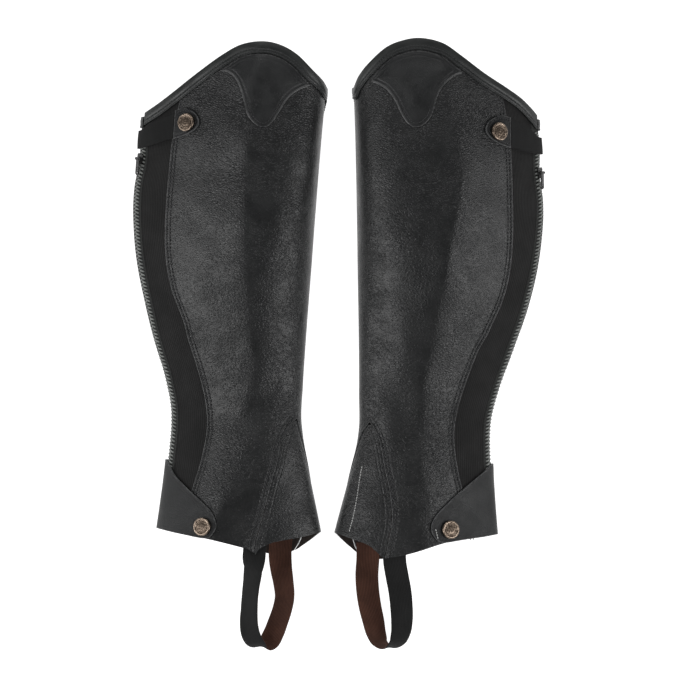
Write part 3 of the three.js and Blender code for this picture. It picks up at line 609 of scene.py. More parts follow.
def settle(a, b, spread, low, high, row_at=None):
    """Places at column shares a and row shares b. Edges depend on places, so they are
    worked out step by step."""
    a, b = np.meshgrid(a, b, indexing="ij")
    along, turn = lerp(-100, 250, b), np.zeros_like(b)
    for _ in range(18):
        turn = spread(a, along)
        bottom, top = low(turn, along), high(turn, along)
        along = row_at(b, bottom, top) if row_at else lerp(bottom, top, b)
    return turn, along


LOWER_SHARE = 8 / 18  # share of the rows below the gusset's tip


def leg_row(share, low, high):
    below = np.clip(1 - share / LOWER_SHARE, 0, 1)
    above = np.clip((share - LOWER_SHARE) / (1 - LOWER_SHARE), 0, 1)
    return np.where(
        share < LOWER_SHARE - 1e-9,
        lerp(APEX_ALONG, low, below**1.6),
        lerp(APEX_ALONG, high, above),
    )


def leg_rows(lower=44, upper=104):
    """Row shares for the panels of the leg, with one at the gusset's tip."""
    return np.concatenate([
        np.linspace(0, LOWER_SHARE, lower + 1)[:-1],
        np.linspace(LOWER_SHARE, 1, upper + 1),
    ])


def drop_collapsed(faces):
    """Quads with two equal corners become triangles, and slivers go."""
    out = []
    for face in faces.tolist():
        ring = [v for k, v in enumerate(face) if v != face[k - 1]]
        if len(set(ring)) == len(ring) > 2:
            out.append(ring)
    return out


def boundary_loop(faces):
    """The vertices round a cut's outline, in order, with the piece on their left."""
    edges = {}
    for ring in drop_collapsed(faces):
        for k, a in enumerate(ring):
            edges[(ring[k - 1], a)] = True
    follow = {a: b for a, b in edges if (b, a) not in edges}
    start = next(iter(follow))
    loop, here = [start], follow[start]
    while here != start:
        loop.append(here)
        here = follow[here]
    return np.array(loop)


def from_outline(points, loop, seams=None):
    """For each point, its distance from the outline, or from its sewn seams, and how far round
    the outline that is."""
    corners = points[loop]
    ahead = np.roll(corners, -1, axis=0) - corners
    lengths = np.linalg.norm(ahead, axis=1)
    starts = np.concatenate([[0], lengths.cumsum()[:-1]])
    tree = KDTree(int((lengths / 0.4 + 1).astype(int).sum()))
    sewn = np.ones(len(loop), bool)
    if seams is not None:
        sewn = np.isin(loop, seams) & np.isin(np.roll(loop, -1), seams)
    runs = []
    for corner, step, length, run in zip(
        corners[sewn], ahead[sewn], lengths[sewn], starts[sewn]
    ):
        pieces = int(length / 0.4 + 1)
        for k in range(pieces):
            tree.insert(corner + step * k / pieces, len(runs))
            runs.append(run + length * k / pieces)
    tree.balance()
    found = [tree.find(point) for point in points]
    return np.array([f[2] for f in found]), np.array([runs[f[1]] for f in found])


def new_object(name, vertices, faces, maps=None, mirrored=False):
    """A mesh object at the origin, with its place in its mesh. Maps are UV maps in mm."""
    if mirrored:
        faces = [list(reversed(face)) for face in faces]
    mesh = bpy.data.meshes.new(name)
    mesh.from_pydata([tuple(v) for v in vertices], [], faces)
    for label, uv in (maps or {}).items():
        layer = mesh.uv_layers.new(name=label)
        corners = np.empty(len(mesh.loops), np.int32)
        mesh.loops.foreach_get("vertex_index", corners)
        layer.data.foreach_set("uv", (np.asarray(uv)[corners] * MM).astype(np.float32).ravel())
    mesh.update()
    piece = bpy.data.objects.new(name, mesh)
    bpy.context.collection.objects.link(piece)
    return piece


def only(piece):
    """Makes one object the selected and active one, in object mode."""
    if bpy.context.object is not None and bpy.context.object.mode != "OBJECT":
        bpy.ops.object.mode_set(mode="OBJECT")
    bpy.ops.object.select_all(action="DESELECT")
    piece.select_set(True)
    bpy.context.view_layer.objects.active = piece


def apply_all(piece):
    only(piece)
    for modifier in list(piece.modifiers):
        bpy.ops.object.modifier_apply(modifier=modifier.name)


def shade(piece, angle=40):
    only(piece)
    bpy.ops.object.shade_smooth_by_angle(angle=math.radians(angle))


def give(piece, *materials):
    for material in materials:
        piece.data.materials.append(material)


def rounded(piece, width, angle):
    """Adds a bevel along the edges that are sharper than an angle."""
    bevel = piece.modifiers.new("Round", "BEVEL")
    bevel.width, bevel.segments, bevel.limit_method = width, 2, "ANGLE"
    bevel.angle_limit = math.radians(angle)
    apply_all(piece)


def sheet_piece(
    name, cut, outer, thickness, materials, slot, lift=None, nodes=()
):
    """Lays a cut on its tube and gives it a finish and a wall inwards, with rounded cut edges.
    Lift adds height by the distance from the outline. The outer face, the inner one and the cut
    edge take the three materials."""
    tube = cut.tube
    turn, along, u, faces = cut.done()
    rim, run = from_outline(tube.point(turn, along), boundary_loop(faces), cut.seams)
    stand = outer if lift is None else outer + lift(rim)
    piece = new_object(
        f"{tube.side}_{name}_piece", tube.place(turn, along, stand), drop_collapsed(faces),
        {"Pattern": np.stack([u, along], axis=-1), "Seam": np.stack([rim, run], axis=-1)},
        tube.chap["mirrored"],
    )
    give(piece, *materials)
    wall = piece.modifiers.new("Wall", "SOLIDIFY")
    wall.thickness, wall.offset, wall.use_even_offset = thickness * MM, -1, False
    wall.material_offset, wall.material_offset_rim = 1, 2
    rounded(piece, 0.0004, 60)
    shade(piece)
    finish_piece(piece, slot, *(f"{tube.side}_{node}" for node in nodes or [name]))


def finish_piece(piece, slot, *nodes):
    """Fits a piece to the body and hides the CAD nodes whose place it takes. The slot is not used.
    """
    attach(piece, "chaps")
    if nodes:
        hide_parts(*nodes)


# --- cuts of the leg panels


def leather_cut(tube):
    """Outer side from the gore seam to the shin, then round the shin and under to the zip."""
    left = tube.beside(tube.gore_seam, GAP / 2)
    near_gusset = tube.beside(tube.gusset_near, -GAP)
    zip_side = tube.from_zip(-PANEL_START)

    def right(along):
        return np.where(along > APEX_ALONG - 1e-6, tube.apex_turn, near_gusset(along))

    def far(along):
        below = tube.gusset_far(along, 1)
        return np.where(along > APEX_ALONG - 1e-6, tube.apex_turn, below)

    def far_spread(share, along):
        over_shin = lerp(far(along), FLAT_TO, share)
        return np.where(share <= 1, over_shin, lerp(FLAT_TO, 3 + zip_side(along), share - 1))

    shares = leg_rows()
    lower = int(np.argmin(abs(shares - LOWER_SHARE)))
    beside = BESIDE_EDGE / 125
    crowded = np.concatenate([beside, np.linspace(0.075, 0.925, 48), 1 - beside[::-1]])
    far_shares = np.concatenate([
        beside[:-1], np.linspace(0.065, 0.5, 26)[:-1], np.linspace(0.5, 1, 13)[:-1],
        np.linspace(1, 2, 13),
    ])
    cut = Cut(tube)
    near = cut.add(*settle(crowded, shares, between(left, right), tube.hem, tube.top, leg_row))
    reuse = np.where(np.arange(len(shares)) >= lower, near[-1], -1)
    far_places = settle(far_shares, shares, far_spread, tube.gusset_hem, tube.top, leg_row)
    far = cut.add(*far_places, reuse, cut.last_u)
    cut.seams = np.concatenate([near[0], near[-1][:lower + 1], far[0][:lower + 1]])
    return cut


def gusset_cut(tube):
    tip, beside = APEX_ALONG - TIP_GAP, BESIDE_EDGE / 55
    columns = np.concatenate([beside, np.linspace(0.16, 0.84, 16), 1 - beside[::-1]])
    spread = between(
        tube.beside(tube.gusset_near, GAP), lambda along: tube.gusset_far(along, -1)
    )

    def row_at(share, low, high):
        return lerp(tip, low, (1 - share) ** 1.6)

    turn, along = settle(
        columns, np.linspace(0, 1, 49), spread,
        tube.gusset_hem, lambda turn, along: tip, row_at,
    )
    turn[:, -1], along[:, -1] = tube.apex_turn, tip
    cut = Cut(tube)
    index = cut.add(turn, along)
    cut.merge(index[:, -1])
    cut.seams = np.concatenate([index[0], index[-1]])
    return cut


def between(left, right):
    """The turn at a share of the way from one line to another."""
    return lambda share, along: lerp(left(along), right(along), share)


def strip_cut(tube, left, right, columns, high=None):
    """A panel between two lines along the leg, from the hem to the top edge."""
    return Cut(tube, *settle(
        np.linspace(0, 1, columns + 1), leg_rows(),
        between(left, right), tube.hem, high or tube.top, leg_row,
    ))


def strap_cut(tube, edges, tail, columns, rows_):
    """A strap across the leg from its lower and upper edges. A tail goes on round the back."""
    low, high = Track(edges, "low"), Track(edges, "high")

    def at(edge):
        return lambda turn, along: edge(tube.across(np.maximum(turn, 0), along))

    first, last = edges["across"][0], edges["across"][-1]
    start = tube.from_zip(-tail) if tail else tube.upright(first)
    end = tube.upright(last)
    crowd = 1.3 if tail else 1

    def spread(share, along):
        return lerp(start(along), end(along), share**crowd)

    columns_at = 1 - (1 - np.linspace(0, 1, columns + 1)) ** 1.25
    rows_at = np.linspace(0, 1, rows_ + 1)
    return Cut(tube, *settle(columns_at, rows_at, spread, at(low), at(high)))


def tab_cut(tube):
    return strap_cut(tube, CALF_TAB[tube.side], 0, 30, 22)


def patch_cut(tube):
    """Knee patch, from its hollow-sided lower edge up to the binding's foot."""
    low = Track(KNEE_EDGE, tube.side)
    foot = BINDING_WIDTH + 1.1

    def low_at(turn, along):
        return low(tube.across(turn, along))

    def high_at(turn, along):
        across = tube.across(turn, along)
        slope = (tube.top_outer(across + 1) - tube.top_outer(across - 1)) / 2
        top = tube.top_outer(across) - foot * np.hypot(1, slope)
        return np.maximum(top, low(across) + 0.8)

    left, right = tube.upright(-90), tube.upright(-13.5)
    return Cut(tube, *settle(
        np.linspace(0, 1, 97), np.linspace(0, 1, 41), between(left, right), low_at, high_at
    ))


# --- swept and repeated shapes


def ring_faces(count, size):
    """Quads between rings of points, then a face across each end."""
    sides = [
        (i * size + k, i * size + (k + 1) % size) for i in range(count - 1) for k in range(size)
    ]
    first, last = list(range(size))[::-1], list(range((count - 1) * size, count * size))
    return [[a, b, b + size, a + size] for a, b in sides] + [first, last]


def face_outwards(piece, angle):
    """Turns a shell's faces outwards and smooths it up to an angle."""
    tidy = bmesh.new()
    tidy.from_mesh(piece.data)
    bmesh.ops.recalc_face_normals(tidy, faces=tidy.faces)
    tidy.to_mesh(piece.data)
    tidy.free()
    shade(piece, angle)


def sweep(name, rings, outline, v, sides):
    """A closed shell through rings of points, each a copy of an outline. Its pattern runs round
    the outline and by v from ring to ring. Sides gives each strip's material index."""
    count, size = rings.shape[:2]
    u = run_of(np.array([*outline, outline[0]]))
    corners = [
        ((u[k], v[i]), (u[k + 1], v[i]), (u[k + 1], v[i + 1]), (u[k], v[i + 1]))
        for i in range(count - 1) for k in range(size)
    ]
    piece = new_object(name, rings.reshape(-1, 3), ring_faces(count, size))
    pattern = np.zeros((len(piece.data.loops), 2), np.float32)
    pattern[:len(corners) * 4] = np.reshape(corners, (-1, 2)) * MM
    layer = piece.data.uv_layers.new(name="Pattern")
    layer.data.foreach_set("uv", pattern.ravel())
    slots = np.array(sides * (count - 1) + [0, 0], np.int32)
    piece.data.polygons.foreach_set("material_index", slots)
    face_outwards(piece, 50)
    return piece


# Rings of a bar, as (share of its length, width, height), in radii, and its corners.
BAR = ((0, 0.5, -0.55), (0.16, 1, -0.05), (0.84, 1, -0.05), (1, 0.5, -0.55))
BAR_SIDES = 6


def bars(tube, name, rows_, radius, material, slot, *nodes):
    """Many short rounded bars in one piece, from rows of (starts, ends, ups)."""
    starts, ends, ups = (np.concatenate(part) for part in zip(*rows_))
    radius *= MM
    ahead = ends - starts
    across = unit(np.cross(ahead, ups))
    ups = unit(np.cross(across, ahead))
    angles = np.arange(BAR_SIDES) * 2 * math.pi / BAR_SIDES
    vertices = np.stack([
        starts + ahead * share + ups * lift * radius
        + (across * math.cos(a) + ups * math.sin(a)) * radius * wide
        for share, wide, lift in BAR for a in angles
    ], axis=1)
    one = ring_faces(len(BAR), BAR_SIDES)
    size = len(BAR) * BAR_SIDES
    faces = [[v + n * size for v in face] for n in range(len(starts)) for face in one]
    piece = new_object(
        f"{tube.side}_{name}", vertices.reshape(-1, 3), faces, mirrored=tube.chap["mirrored"]
    )
    face_outwards(piece, 70)
    give(piece, material)
    finish_piece(piece, slot, *nodes)


def add_row(tube, out, turn, along, stand, pitch=None):
    """Adds a row of stitches that follows places on the leg."""
    pitch = (pitch or sizes().stitch / MM) * MM
    points = tube.place(turn, along, stand)
    above = points - tube.place(turn, along, stand - 1)
    run = run_of(points)
    places = np.arange(max(int(run[-1] / pitch), 1)) * pitch + 0.1 * pitch

    def at(values, where):
        return np.stack([np.interp(where, run, values[:, k]) for k in range(3)], axis=-1)

    out.append((at(points, places), at(points, places + 0.78 * pitch), unit(at(above, places))))


def edge_row(tube, line, side_step, low, high):
    """Places that run beside a line along the leg, a distance round the tube from it."""
    along = np.arange(low, high, 1.0)
    turn = line(along)
    for _ in range(8):
        turn = tube.step_round(turn, along, side_step / 8)
    return turn, along


# --- finishes


class Graph:
    """A node tree with short ways to add and join its nodes."""

    def __init__(self, tree):
        self.tree = tree

    def add(self, kind, inputs=None, **settings):
        node = self.tree.nodes.new(f"ShaderNode{kind}")
        for name, value in settings.items():
            setattr(node, name, value)
        for name, value in (inputs or {}).items():
            self.join(value, node.inputs[name])
        return node

    def join(self, value, socket):
        if isinstance(value, bpy.types.NodeSocket):
            self.tree.links.new(value, socket)
        else:
            socket.default_value = value

    def maths(self, operation, a, b=0.0):
        return self.add("Math", {0: a, 1: b}, operation=operation).outputs[0]

    def plus(self, a, b):
        return self.maths("ADD", a, b)

    def minus(self, a, b):
        return self.maths("SUBTRACT", a, b)

    def times(self, a, b):
        return self.maths("MULTIPLY", a, b)

    def wave(self, value, pitch):
        return self.maths("SINE", self.maths("DIVIDE", self.times(value, 6.2832), pitch))

    def vectors(self, operation, inputs):
        return self.add("VectorMath", inputs, operation=operation).outputs[0]

    def stretch(self, vector, *scale):
        return self.add("Mapping", {"Vector": vector, "Scale": scale}).outputs[0]

    def remap(self, value, low, high, to_low=0.0, to_high=1.0):
        ranges = {0: value, 1: low, 2: high, 3: to_low, 4: to_high}
        return self.add("MapRange", ranges, interpolation_type="SMOOTHSTEP").outputs[0]

    def blend(self, factor, a, b, kind="MIX"):
        node = self.add("Mix", {0: factor, 6: a, 7: b}, data_type="RGBA", blend_type=kind)
        return node.outputs[2]

    def grey(self, value):
        return self.add("CombineColor", {0: value, 1: value, 2: value}).outputs[0]

    def noise(self, vector, scale, detail):
        inputs = {"Vector": vector, "Scale": scale, "Detail": detail}
        return self.add("TexNoise", inputs).outputs[0]

    def split(self, vector):
        return self.add("SeparateXYZ", {0: vector}).outputs

    def map(self, name):
        return self.add("UVMap", uv_map=name).outputs[0]

    def bump(self, height, strength, depth):
        inputs = {"Height": height, "Strength": strength, "Distance": depth}
        return self.add("Bump", inputs).outputs[0]

    def use(self, tree, **inputs):
        node = self.tree.nodes.new("ShaderNodeGroup")
        node.node_tree = tree
        for name, value in inputs.items():
            self.join(value, node.inputs[name])
        return node.outputs


SOCKETS = {None: "NodeSocketVector", float: "NodeSocketFloat", tuple: "NodeSocketColor"}


def effect(name, inputs, outputs):
    """Makes a shader node group, built once, of what a function returns. Inputs have their
    values, or None for a vector, and outputs their kinds."""

    def shared(build):
        def group():
            tree = bpy.data.node_groups.get(name)
            if tree:
                return tree
            tree = bpy.data.node_groups.new(name, "ShaderNodeTree")
            for label, value in inputs.items():
                kind = SOCKETS[None if value is None else type(value)]
                made = tree.interface.new_socket(name=label, in_out="INPUT", socket_type=kind)
                if value is not None:
                    made.default_value = value
            for label, kind in outputs.items():
                tree.interface.new_socket(
                    name=label, in_out="OUTPUT", socket_type=SOCKETS[kind]
                )
            start, end = tree.nodes.new("NodeGroupInput"), tree.nodes.new("NodeGroupOutput")
            graph = Graph(tree)
            for label, value in build(graph, start.outputs).items():
                graph.join(value, end.inputs[label])
            return tree

        return group

    return shared


@effect("Pebbled Grain", {"Vector": None, "Size": 0.0014, "Wrinkle": 0.5},
        {"Height": float, "Crease": float})
def pebbled_grain(g, given):
    """Flat-lying pebbles, wider than tall, between fine creases, and wrinkles in places."""
    place, size = given["Vector"], given["Size"]
    scale = g.maths("DIVIDE", 1.0, size)
    warp = g.add("TexNoise", {"Vector": place, "Scale": g.times(scale, 0.3), "Detail": 1.0})
    centred = g.vectors("SUBTRACT", {0: warp.outputs["Color"], 1: (0.5, 0.5, 0.5)})
    push = g.vectors("SCALE", {0: centred, "Scale": g.times(size, 1.6)})
    bent = g.vectors("ADD", {0: place, 1: push})
    cells = g.add("TexVoronoi", {"Vector": g.stretch(bent, 0.48, 1.0, 1.0), "Scale": scale},
                  feature="DISTANCE_TO_EDGE").outputs[0]
    pebble = g.remap(cells, 0.0, 0.4)
    worms = g.noise(g.stretch(bent, 0.26, 1.0, 1.0), g.times(scale, 0.5), 1.0)
    line = g.remap(g.maths("ABSOLUTE", g.minus(worms, 0.5)), 0.0, 0.09, 1.0, 0.0)
    zone = g.remap(g.noise(place, 17.0, 1.0), 0.44, 0.62)
    crease = g.times(line, g.times(zone, given["Wrinkle"]))
    patchy = g.remap(g.noise(place, 30.0, 2.0), 0.3, 0.72, 0.6, 1.2)
    return {
        "Height": g.minus(g.times(pebble, patchy), crease),
        "Crease": g.maths("MAXIMUM", g.minus(1.0, pebble), crease),
    }


@effect("Stitch Channel", {"Seam": None, "First": 0.0021, "Second": 0.0051, "Pitch": 0.0031},
        {"Depth": float})
def stitch_channel(g, given):
    """Shallow channels that rows of stitches pull in beside a cut edge, and their puckers."""
    distance, run, _ = g.split(given["Seam"])
    pucker = g.plus(g.times(g.wave(run, given["Pitch"]), 0.35), 0.65)

    def channel(row):
        away = g.maths("ABSOLUTE", g.minus(distance, given[row]))
        return g.times(g.remap(away, 0.0, 0.0011, 1.0, 0.0), pucker)

    return {"Depth": g.plus(channel("First"), channel("Second"))}


@effect("Edge Wear And Highlight", {"Vector": None, "Seam": None, "Width": 0.001}, {"Mask": float})
def edge_wear_and_highlight(g, given):
    """Where a cut edge is pale: partly rubbed wear, partly a painted highlight along the edge."""
    near = g.remap(g.split(given["Seam"])[0], 0.0, given["Width"], 1.0, 0.0)
    ragged = g.remap(g.noise(given["Vector"], 420.0, 3.0), 0.34, 0.66)
    return {"Mask": g.times(near, ragged)}


@effect("Tone Drift", {"Vector": None, "Colour": (0.02, 0.02, 0.02, 1), "Size": 0.03},
        {"Colour": tuple})
def tone_drift(g, given):
    """A colour that drifts a little lighter and darker over the piece."""
    broad = g.noise(given["Vector"], g.maths("DIVIDE", 1.0, given["Size"]), 3.0)
    value = g.remap(broad, 0.3, 0.7, 0.82, 1.2)
    return {"Colour": g.blend(1.0, given["Colour"], g.grey(value), "MULTIPLY")}


@effect("Ribbed Knit", {"Vector": None, "Pattern": None, "Rib": 0.0016, "Thread": 0.0009},
        {"Height": float, "Rib": float})
def ribbed_knit(g, given):
    """Ribs along the piece, crossed by fine threads."""
    u, v, _ = g.split(given["Pattern"])
    rib = g.remap(g.wave(u, given["Rib"]), -1.0, 1.0)
    threads = g.remap(g.wave(v, given["Thread"]), -1.0, 1.0)
    fuzz = g.times(g.noise(given["Vector"], 2600.0, 2.0), 0.25)
    return {"Height": g.plus(g.plus(g.times(rib, 0.7), g.times(threads, 0.3)), fuzz), "Rib": rib}


@effect("Worn Metal", {"Vector": None}, {"Patina": float, "Height": float})
def worn_metal(g, given):
    """Patina in patches over a metal, and fine scratches."""
    place = given["Vector"]
    return {
        "Patina": g.remap(g.noise(place, 900.0, 4.0), 0.38, 0.66),
        "Height": g.noise(g.stretch(place, 1.0, 14.0, 1.0), 700.0, 2.0),
    }


def rgba(colour, factor=1.0):
    return tuple(c * factor for c in colour) + (1.0,)


def finish(name, look, *choices):
    """A material, built once. Its look says what goes into each input of its shader."""
    material = bpy.data.materials.get(name)
    if material is None:
        material = bpy.data.materials.new(name)
        material.use_nodes = True
        graph = Graph(material.node_tree)
        shader = material.node_tree.nodes["Principled BSDF"]
        place = graph.add("TexCoord").outputs["Object"]
        for label, value in look(graph, place, *choices).items():
            graph.join(value, shader.inputs[label])
    return material


def drifting(g, place, colour, size):
    return g.use(tone_drift(), Vector=place, Colour=rgba(colour), Size=size)["Colour"]


def sewn(g, place, height, tone, second, depth, wear_and_highlight, pale):
    """Adds stitch channels to a height, and to a tone pale cut edges that are partly rubbed wear
    and partly painted highlight.
    """
    seam = g.map("Seam")
    channel = g.use(stitch_channel(), Seam=seam, First=0.0021, Second=second)["Depth"]
    # The pale cut edges are partly rubbed wear and partly a painted highlight.
    worn = g.use(edge_wear_and_highlight(), Vector=place, Seam=seam, Width=0.0011)["Mask"]
    return g.minus(height, g.times(channel, depth)), g.blend(g.times(worn, wear_and_highlight), tone, rgba(pale))


def grain_look(g, place):
    colour = colours().leather
    grain = g.use(pebbled_grain(), Vector=place, Size=sizes().grain, Wrinkle=0.6)
    # Painted shade: the grain's crevices and creases are blended towards a darker copy of the
    # leather colour.
    tone = g.blend(g.times(grain["Crease"], 0.55), drifting(g, place, colour, 0.03),
                   rgba(colour, 0.45))
    height, tone = sewn(g, place, grain["Height"], tone, 0.0051, 1.5, 0.7, (0.10, 0.10, 0.102))
    rough = g.remap(g.noise(place, 60.0, 3.0), 0.3, 0.7, 0.27, 0.36)
    return {
        "Base Color": tone,
        "Roughness": g.plus(rough, g.times(grain["Crease"], 0.12)),
        "Normal": g.bump(height, 1.0, 0.0002),
    }


def flesh_look(g, place):
    return {
        "Base Color": drifting(g, place, (0.020, 0.014, 0.011), 0.012),
        "Roughness": 0.9,
        "Normal": g.bump(g.noise(place, 1900.0, 3.0), 0.5, 0.0002),
    }


def cut_edge_look(g, place):
    fibres = g.noise(place, 1500.0, 3.0)
    dark, pale = rgba((0.06,) * 3), rgba((0.19, 0.195, 0.2))
    return {
        "Base Color": g.blend(g.remap(fibres, 0.3, 0.7), dark, pale),
        "Roughness": 0.62,
        "Normal": g.bump(fibres, 0.5, 0.00015),
    }


def smooth_look(g, place, colour, hatch, seams, gloss):
    """Smooth leather with a fine cross-hatch."""
    tone = drifting(g, place, colour, 0.016)
    grain = g.use(pebbled_grain(), Vector=place, Size=0.0009, Wrinkle=0.25)
    height = g.times(grain["Height"], hatch)
    if seams:
        height, tone = sewn(g, place, height, tone, 0.0042, 0.5, 0.75, (0.12, 0.12, 0.122))
    return {
        "Base Color": tone,
        "Roughness": g.remap(g.noise(place, 90.0, 3.0), 0.3, 0.7, 0.36, 0.5),
        "Normal": g.bump(height, 0.7, 0.00014),
        "Specular IOR Level": gloss,
    }


def smooth_leather(name, colour, hatch, seams=True, gloss=0.5):
    return finish(name, smooth_look, colour, hatch, seams, gloss)


def knit_look(g, place, colour, rib, threads, depth):
    weave = g.use(
        ribbed_knit(), Vector=place, Pattern=g.map("Pattern"), Rib=rib, Thread=threads
    )
    tone = drifting(g, place, colour, 0.02)
    shaded = g.blend(1.0, tone, rgba((0.5,) * 3), "MULTIPLY")
    return {
        "Base Color": g.blend(weave["Rib"], shaded, tone),
        "Roughness": 0.9,
        "Normal": g.bump(weave["Height"], 0.8, depth),
        "Specular IOR Level": 0.3,
    }


def tape_look(g, place):
    u, v, _ = g.split(g.map("Pattern"))
    line = g.remap(g.wave(g.plus(u, v), 0.0013), -1.0, 1.0)
    fuzz = g.times(g.noise(place, 2400.0, 2.0), 0.4)
    return {
        "Base Color": g.blend(line, rgba((0.010, 0.011, 0.0105)), rgba((0.034, 0.036, 0.034))),
        "Roughness": 0.8,
        "Normal": g.bump(g.plus(line, fuzz), 0.8, 0.00025),
    }


def nylon_look(g, place):
    return {
        "Base Color": drifting(g, place, (0.20, 0.21, 0.20), 0.01),
        "Roughness": g.remap(g.noise(place, 300.0, 2.0), 0.3, 0.7, 0.28, 0.42),
    }


def thread_look(g, place, colour):
    twist = g.noise(place, 2200.0, 2.0)
    return {
        "Base Color": g.blend(twist, rgba(colour, 0.6), rgba(colour, 1.5)),
        "Roughness": 0.55,
        "Normal": g.bump(twist, 0.5, 0.0001),
    }


def metal_look(g, place, bright, dark, rough):
    worn = g.use(worn_metal(), Vector=place)
    return {
        "Base Color": g.blend(worn["Patina"], rgba(bright), rgba(dark)),
        "Roughness": g.plus(g.times(worn["Patina"], 0.15), rough),
        "Normal": g.bump(worn["Height"], 0.3, 0.00005),
        "Metallic": 1.0,
    }


def floor_look(g, place):
    return {
        "Base Color": g.grey(g.remap(g.noise(place, 3.0, 2.0), 0.3, 0.7, 0.54, 0.56)),
        "Roughness": 0.85,
        "Emission Color": (1, 1, 1, 1),
        "Emission Strength": 1.0,
    }


def leather_finishes():
    """The outer face, the inner face and the cut edge of a grain leather piece."""
    return (
        finish("Grain leather", grain_look), finish("Flesh side", flesh_look),
        finish("Cut edge", cut_edge_look),
    )


def strap_finishes():
    leather = smooth_leather("Strap leather", colours().leather, 0.8, gloss=0.28)
    return leather, finish("Flesh side", flesh_look), finish("Cut edge", cut_edge_look)


def elastic_band(name="Elastic", colour=None):
    return finish(name, knit_look, colour or colours().elastic, 0.0013, 0.0008, 0.0002)


def thread():
    return finish("Thread", thread_look, colours().thread)


# --- pieces of one chap


def seam_lift(rim):
    """A turned edge that stands up a little, and the channels of two rows of stitches."""
    lip = 0.28 * smooth(rim, 0.0, 0.5) * (1 - smooth(rim, 1.2, 0.9))
    rows_ = np.exp(-(((rim - 2.1) / 0.45) ** 2)) + 0.8 * np.exp(-(((rim - 5.1) / 0.55) ** 2))
    return lip - 0.22 * rows_


def make_leather(tube):
    sheet_piece(
        "main_leather", leather_cut(tube), 0, sizes().leather / MM, leather_finishes(),
        "leather", seam_lift,
    )


def gusset_lift(rim):
    return -0.35 * (1 - smooth(rim, 0.2, 1.4))


def make_gusset(tube):
    sheet_piece(
        "instep_gusset", gusset_cut(tube), 0, sizes().leather / MM, leather_finishes(),
        "leather", gusset_lift,
    )


def make_gore(tube):
    seam = tube.beside(tube.gore_seam, -GAP / 2)
    cut = strip_cut(tube, tube.from_zip(PANEL_START), seam, 36)
    black = finish("Stretch gore", knit_look, colours().gore, 0.0019, 0.0011, 0.0003)
    sheet_piece(
        "stretch_gore", cut, TAPE_SINK, sizes().knit / MM, (black,) * 3, "gore"
    )


def make_zip(tube):
    side = tube.side
    strip = strip_cut(
        tube, tube.from_zip(-TAPE_END), tube.from_zip(TAPE_END), 12,
        lambda turn, along: tube.top(turn, along) - BINDING_WIDTH - 1,
    )
    sheet_piece(
        "zip_tape", strip, TAPE_SINK, 1.1, (finish("Zip tape", tape_look),) * 3, "tape",
        nodes=("zip_tape_outer", "zip_tape_inner"),
    )
    pitch, radius = 3.1, 0.78
    low = float(tube.hem(ZIP_TURN, -100.0)) + 3
    high = float(tube.top(ZIP_TURN, 250.0)) - BINDING_WIDTH - 3
    teeth = []
    for way, shift in ((-1, 0.0), (1, 0.5)):
        along = np.arange(low, high, pitch) + shift * pitch
        middle = np.full_like(along, ZIP_TURN)
        starts, ends = (
            tube.place(tube.step_round(middle, along, distance * way + 0.6), along + slant, 0.1)
            for distance, slant in ((-0.5, 0.4), (3.0, -1.1))
        )
        ups = tube.place(middle, along, 1.0) - tube.place(middle, along)
        teeth.append((starts, ends, ups))
    nylon = finish("Nylon teeth", nylon_look)
    bars(tube, "zip_teeth", teeth, radius, nylon, "coil", f"{side}_zip_coil")
    for node in ("zip_slider", "zip_pull"):
        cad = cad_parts[f"{side}_{node}"]
        cad.data.materials.clear()
        give(cad, finish(
            "Gunmetal", metal_look, (0.09, 0.09, 0.09), (0.02, 0.02, 0.02), 0.35
        ))


def binding_profile():
    """Outline of the binding as (offset, up), round its outside and back along its inside."""
    near, far, roof = BINDING_STAND, -2.55, 2 * GAP
    out, back, foot = near + 1.15, far - 1.2, -BINDING_WIDTH
    middle, half = (out + back) / 2, (out - back) / 2
    crown = [
        (middle + half * math.cos(a), roof + 0.9 * math.sin(a) ** 0.7)
        for a in np.linspace(0, math.pi, 13)
    ]
    return [
        (near, foot), (out - 0.75, foot), (out - 0.45, foot + 0.3), (out - 0.4, foot + 0.8),
        (out - 0.62, foot + 1.2), (out - 0.42, foot + 1.7), (out - 0.3, foot + 2.6),
        (out - 0.38, foot + 3.3), (out - 0.5, foot + 3.7), (out - 0.2, foot + 4.2),
        (out + 0.05, foot + 5.0), (out + 0.12, foot + 6.2), (out + 0.1, -1.2), *crown,
        (back, -1.2), (back, foot + 3), (back, foot + 0.3), (back + 0.3, foot), (far, foot),
        (far, foot + 4), (far, roof), (near, roof), (near, foot + 4),
    ]


def make_binding(tube):
    turns = np.concatenate([
        np.linspace(float(tube.from_zip(BINDING_START)(250.0)), 0.45, 44)[:-1],
        np.linspace(0.45, 1.75, 110)[:-1],
        np.linspace(1.75, 2.3, 60)[:-1],
        np.linspace(2.3, 2.78, 40)[:-1],
        np.linspace(2.78, 3 + float(tube.from_zip(-BINDING_START)(250.0)), 34),
    ])
    along = np.full_like(turns, 280.0)
    for _ in range(25):
        along = 0.5 * along + 0.5 * tube.top(turns, along)
    top = tube.point(turns, along)
    ahead = unit(np.gradient(top, axis=0))
    normal = tube.normal(turns, along)
    rise = unit(np.cross(normal, ahead))
    down = unit(tube.point(turns, along - 0.5) - top)
    steep = np.linalg.norm(np.cross(down, ahead), axis=-1)
    outline = binding_profile()
    rings = np.stack([
        tube.off(turns, along, offset) + rise * up if up >= 0
        else tube.off(turns, along + up / steep, offset)
        for offset, up in outline
    ], axis=1)
    piece = sweep(
        f"{tube.side}_top_binding_piece", tube.world(rings), outline, run_of(top),
        [0] * len(outline),
    )
    give(piece, smooth_leather("Binding leather", colours().binding, 0.35, seams=False))
    finish_piece(piece, "binding", f"{tube.side}_top_binding")
    made = []
    for depth in (BINDING_WIDTH - 1.2, BINDING_WIDTH - 3.6):
        add_row(tube, made, turns, along - depth / steep, BINDING_STAND + 0.85, 2.6)
    bars(tube, "binding_stitches", made, 0.34, thread(), "binding")


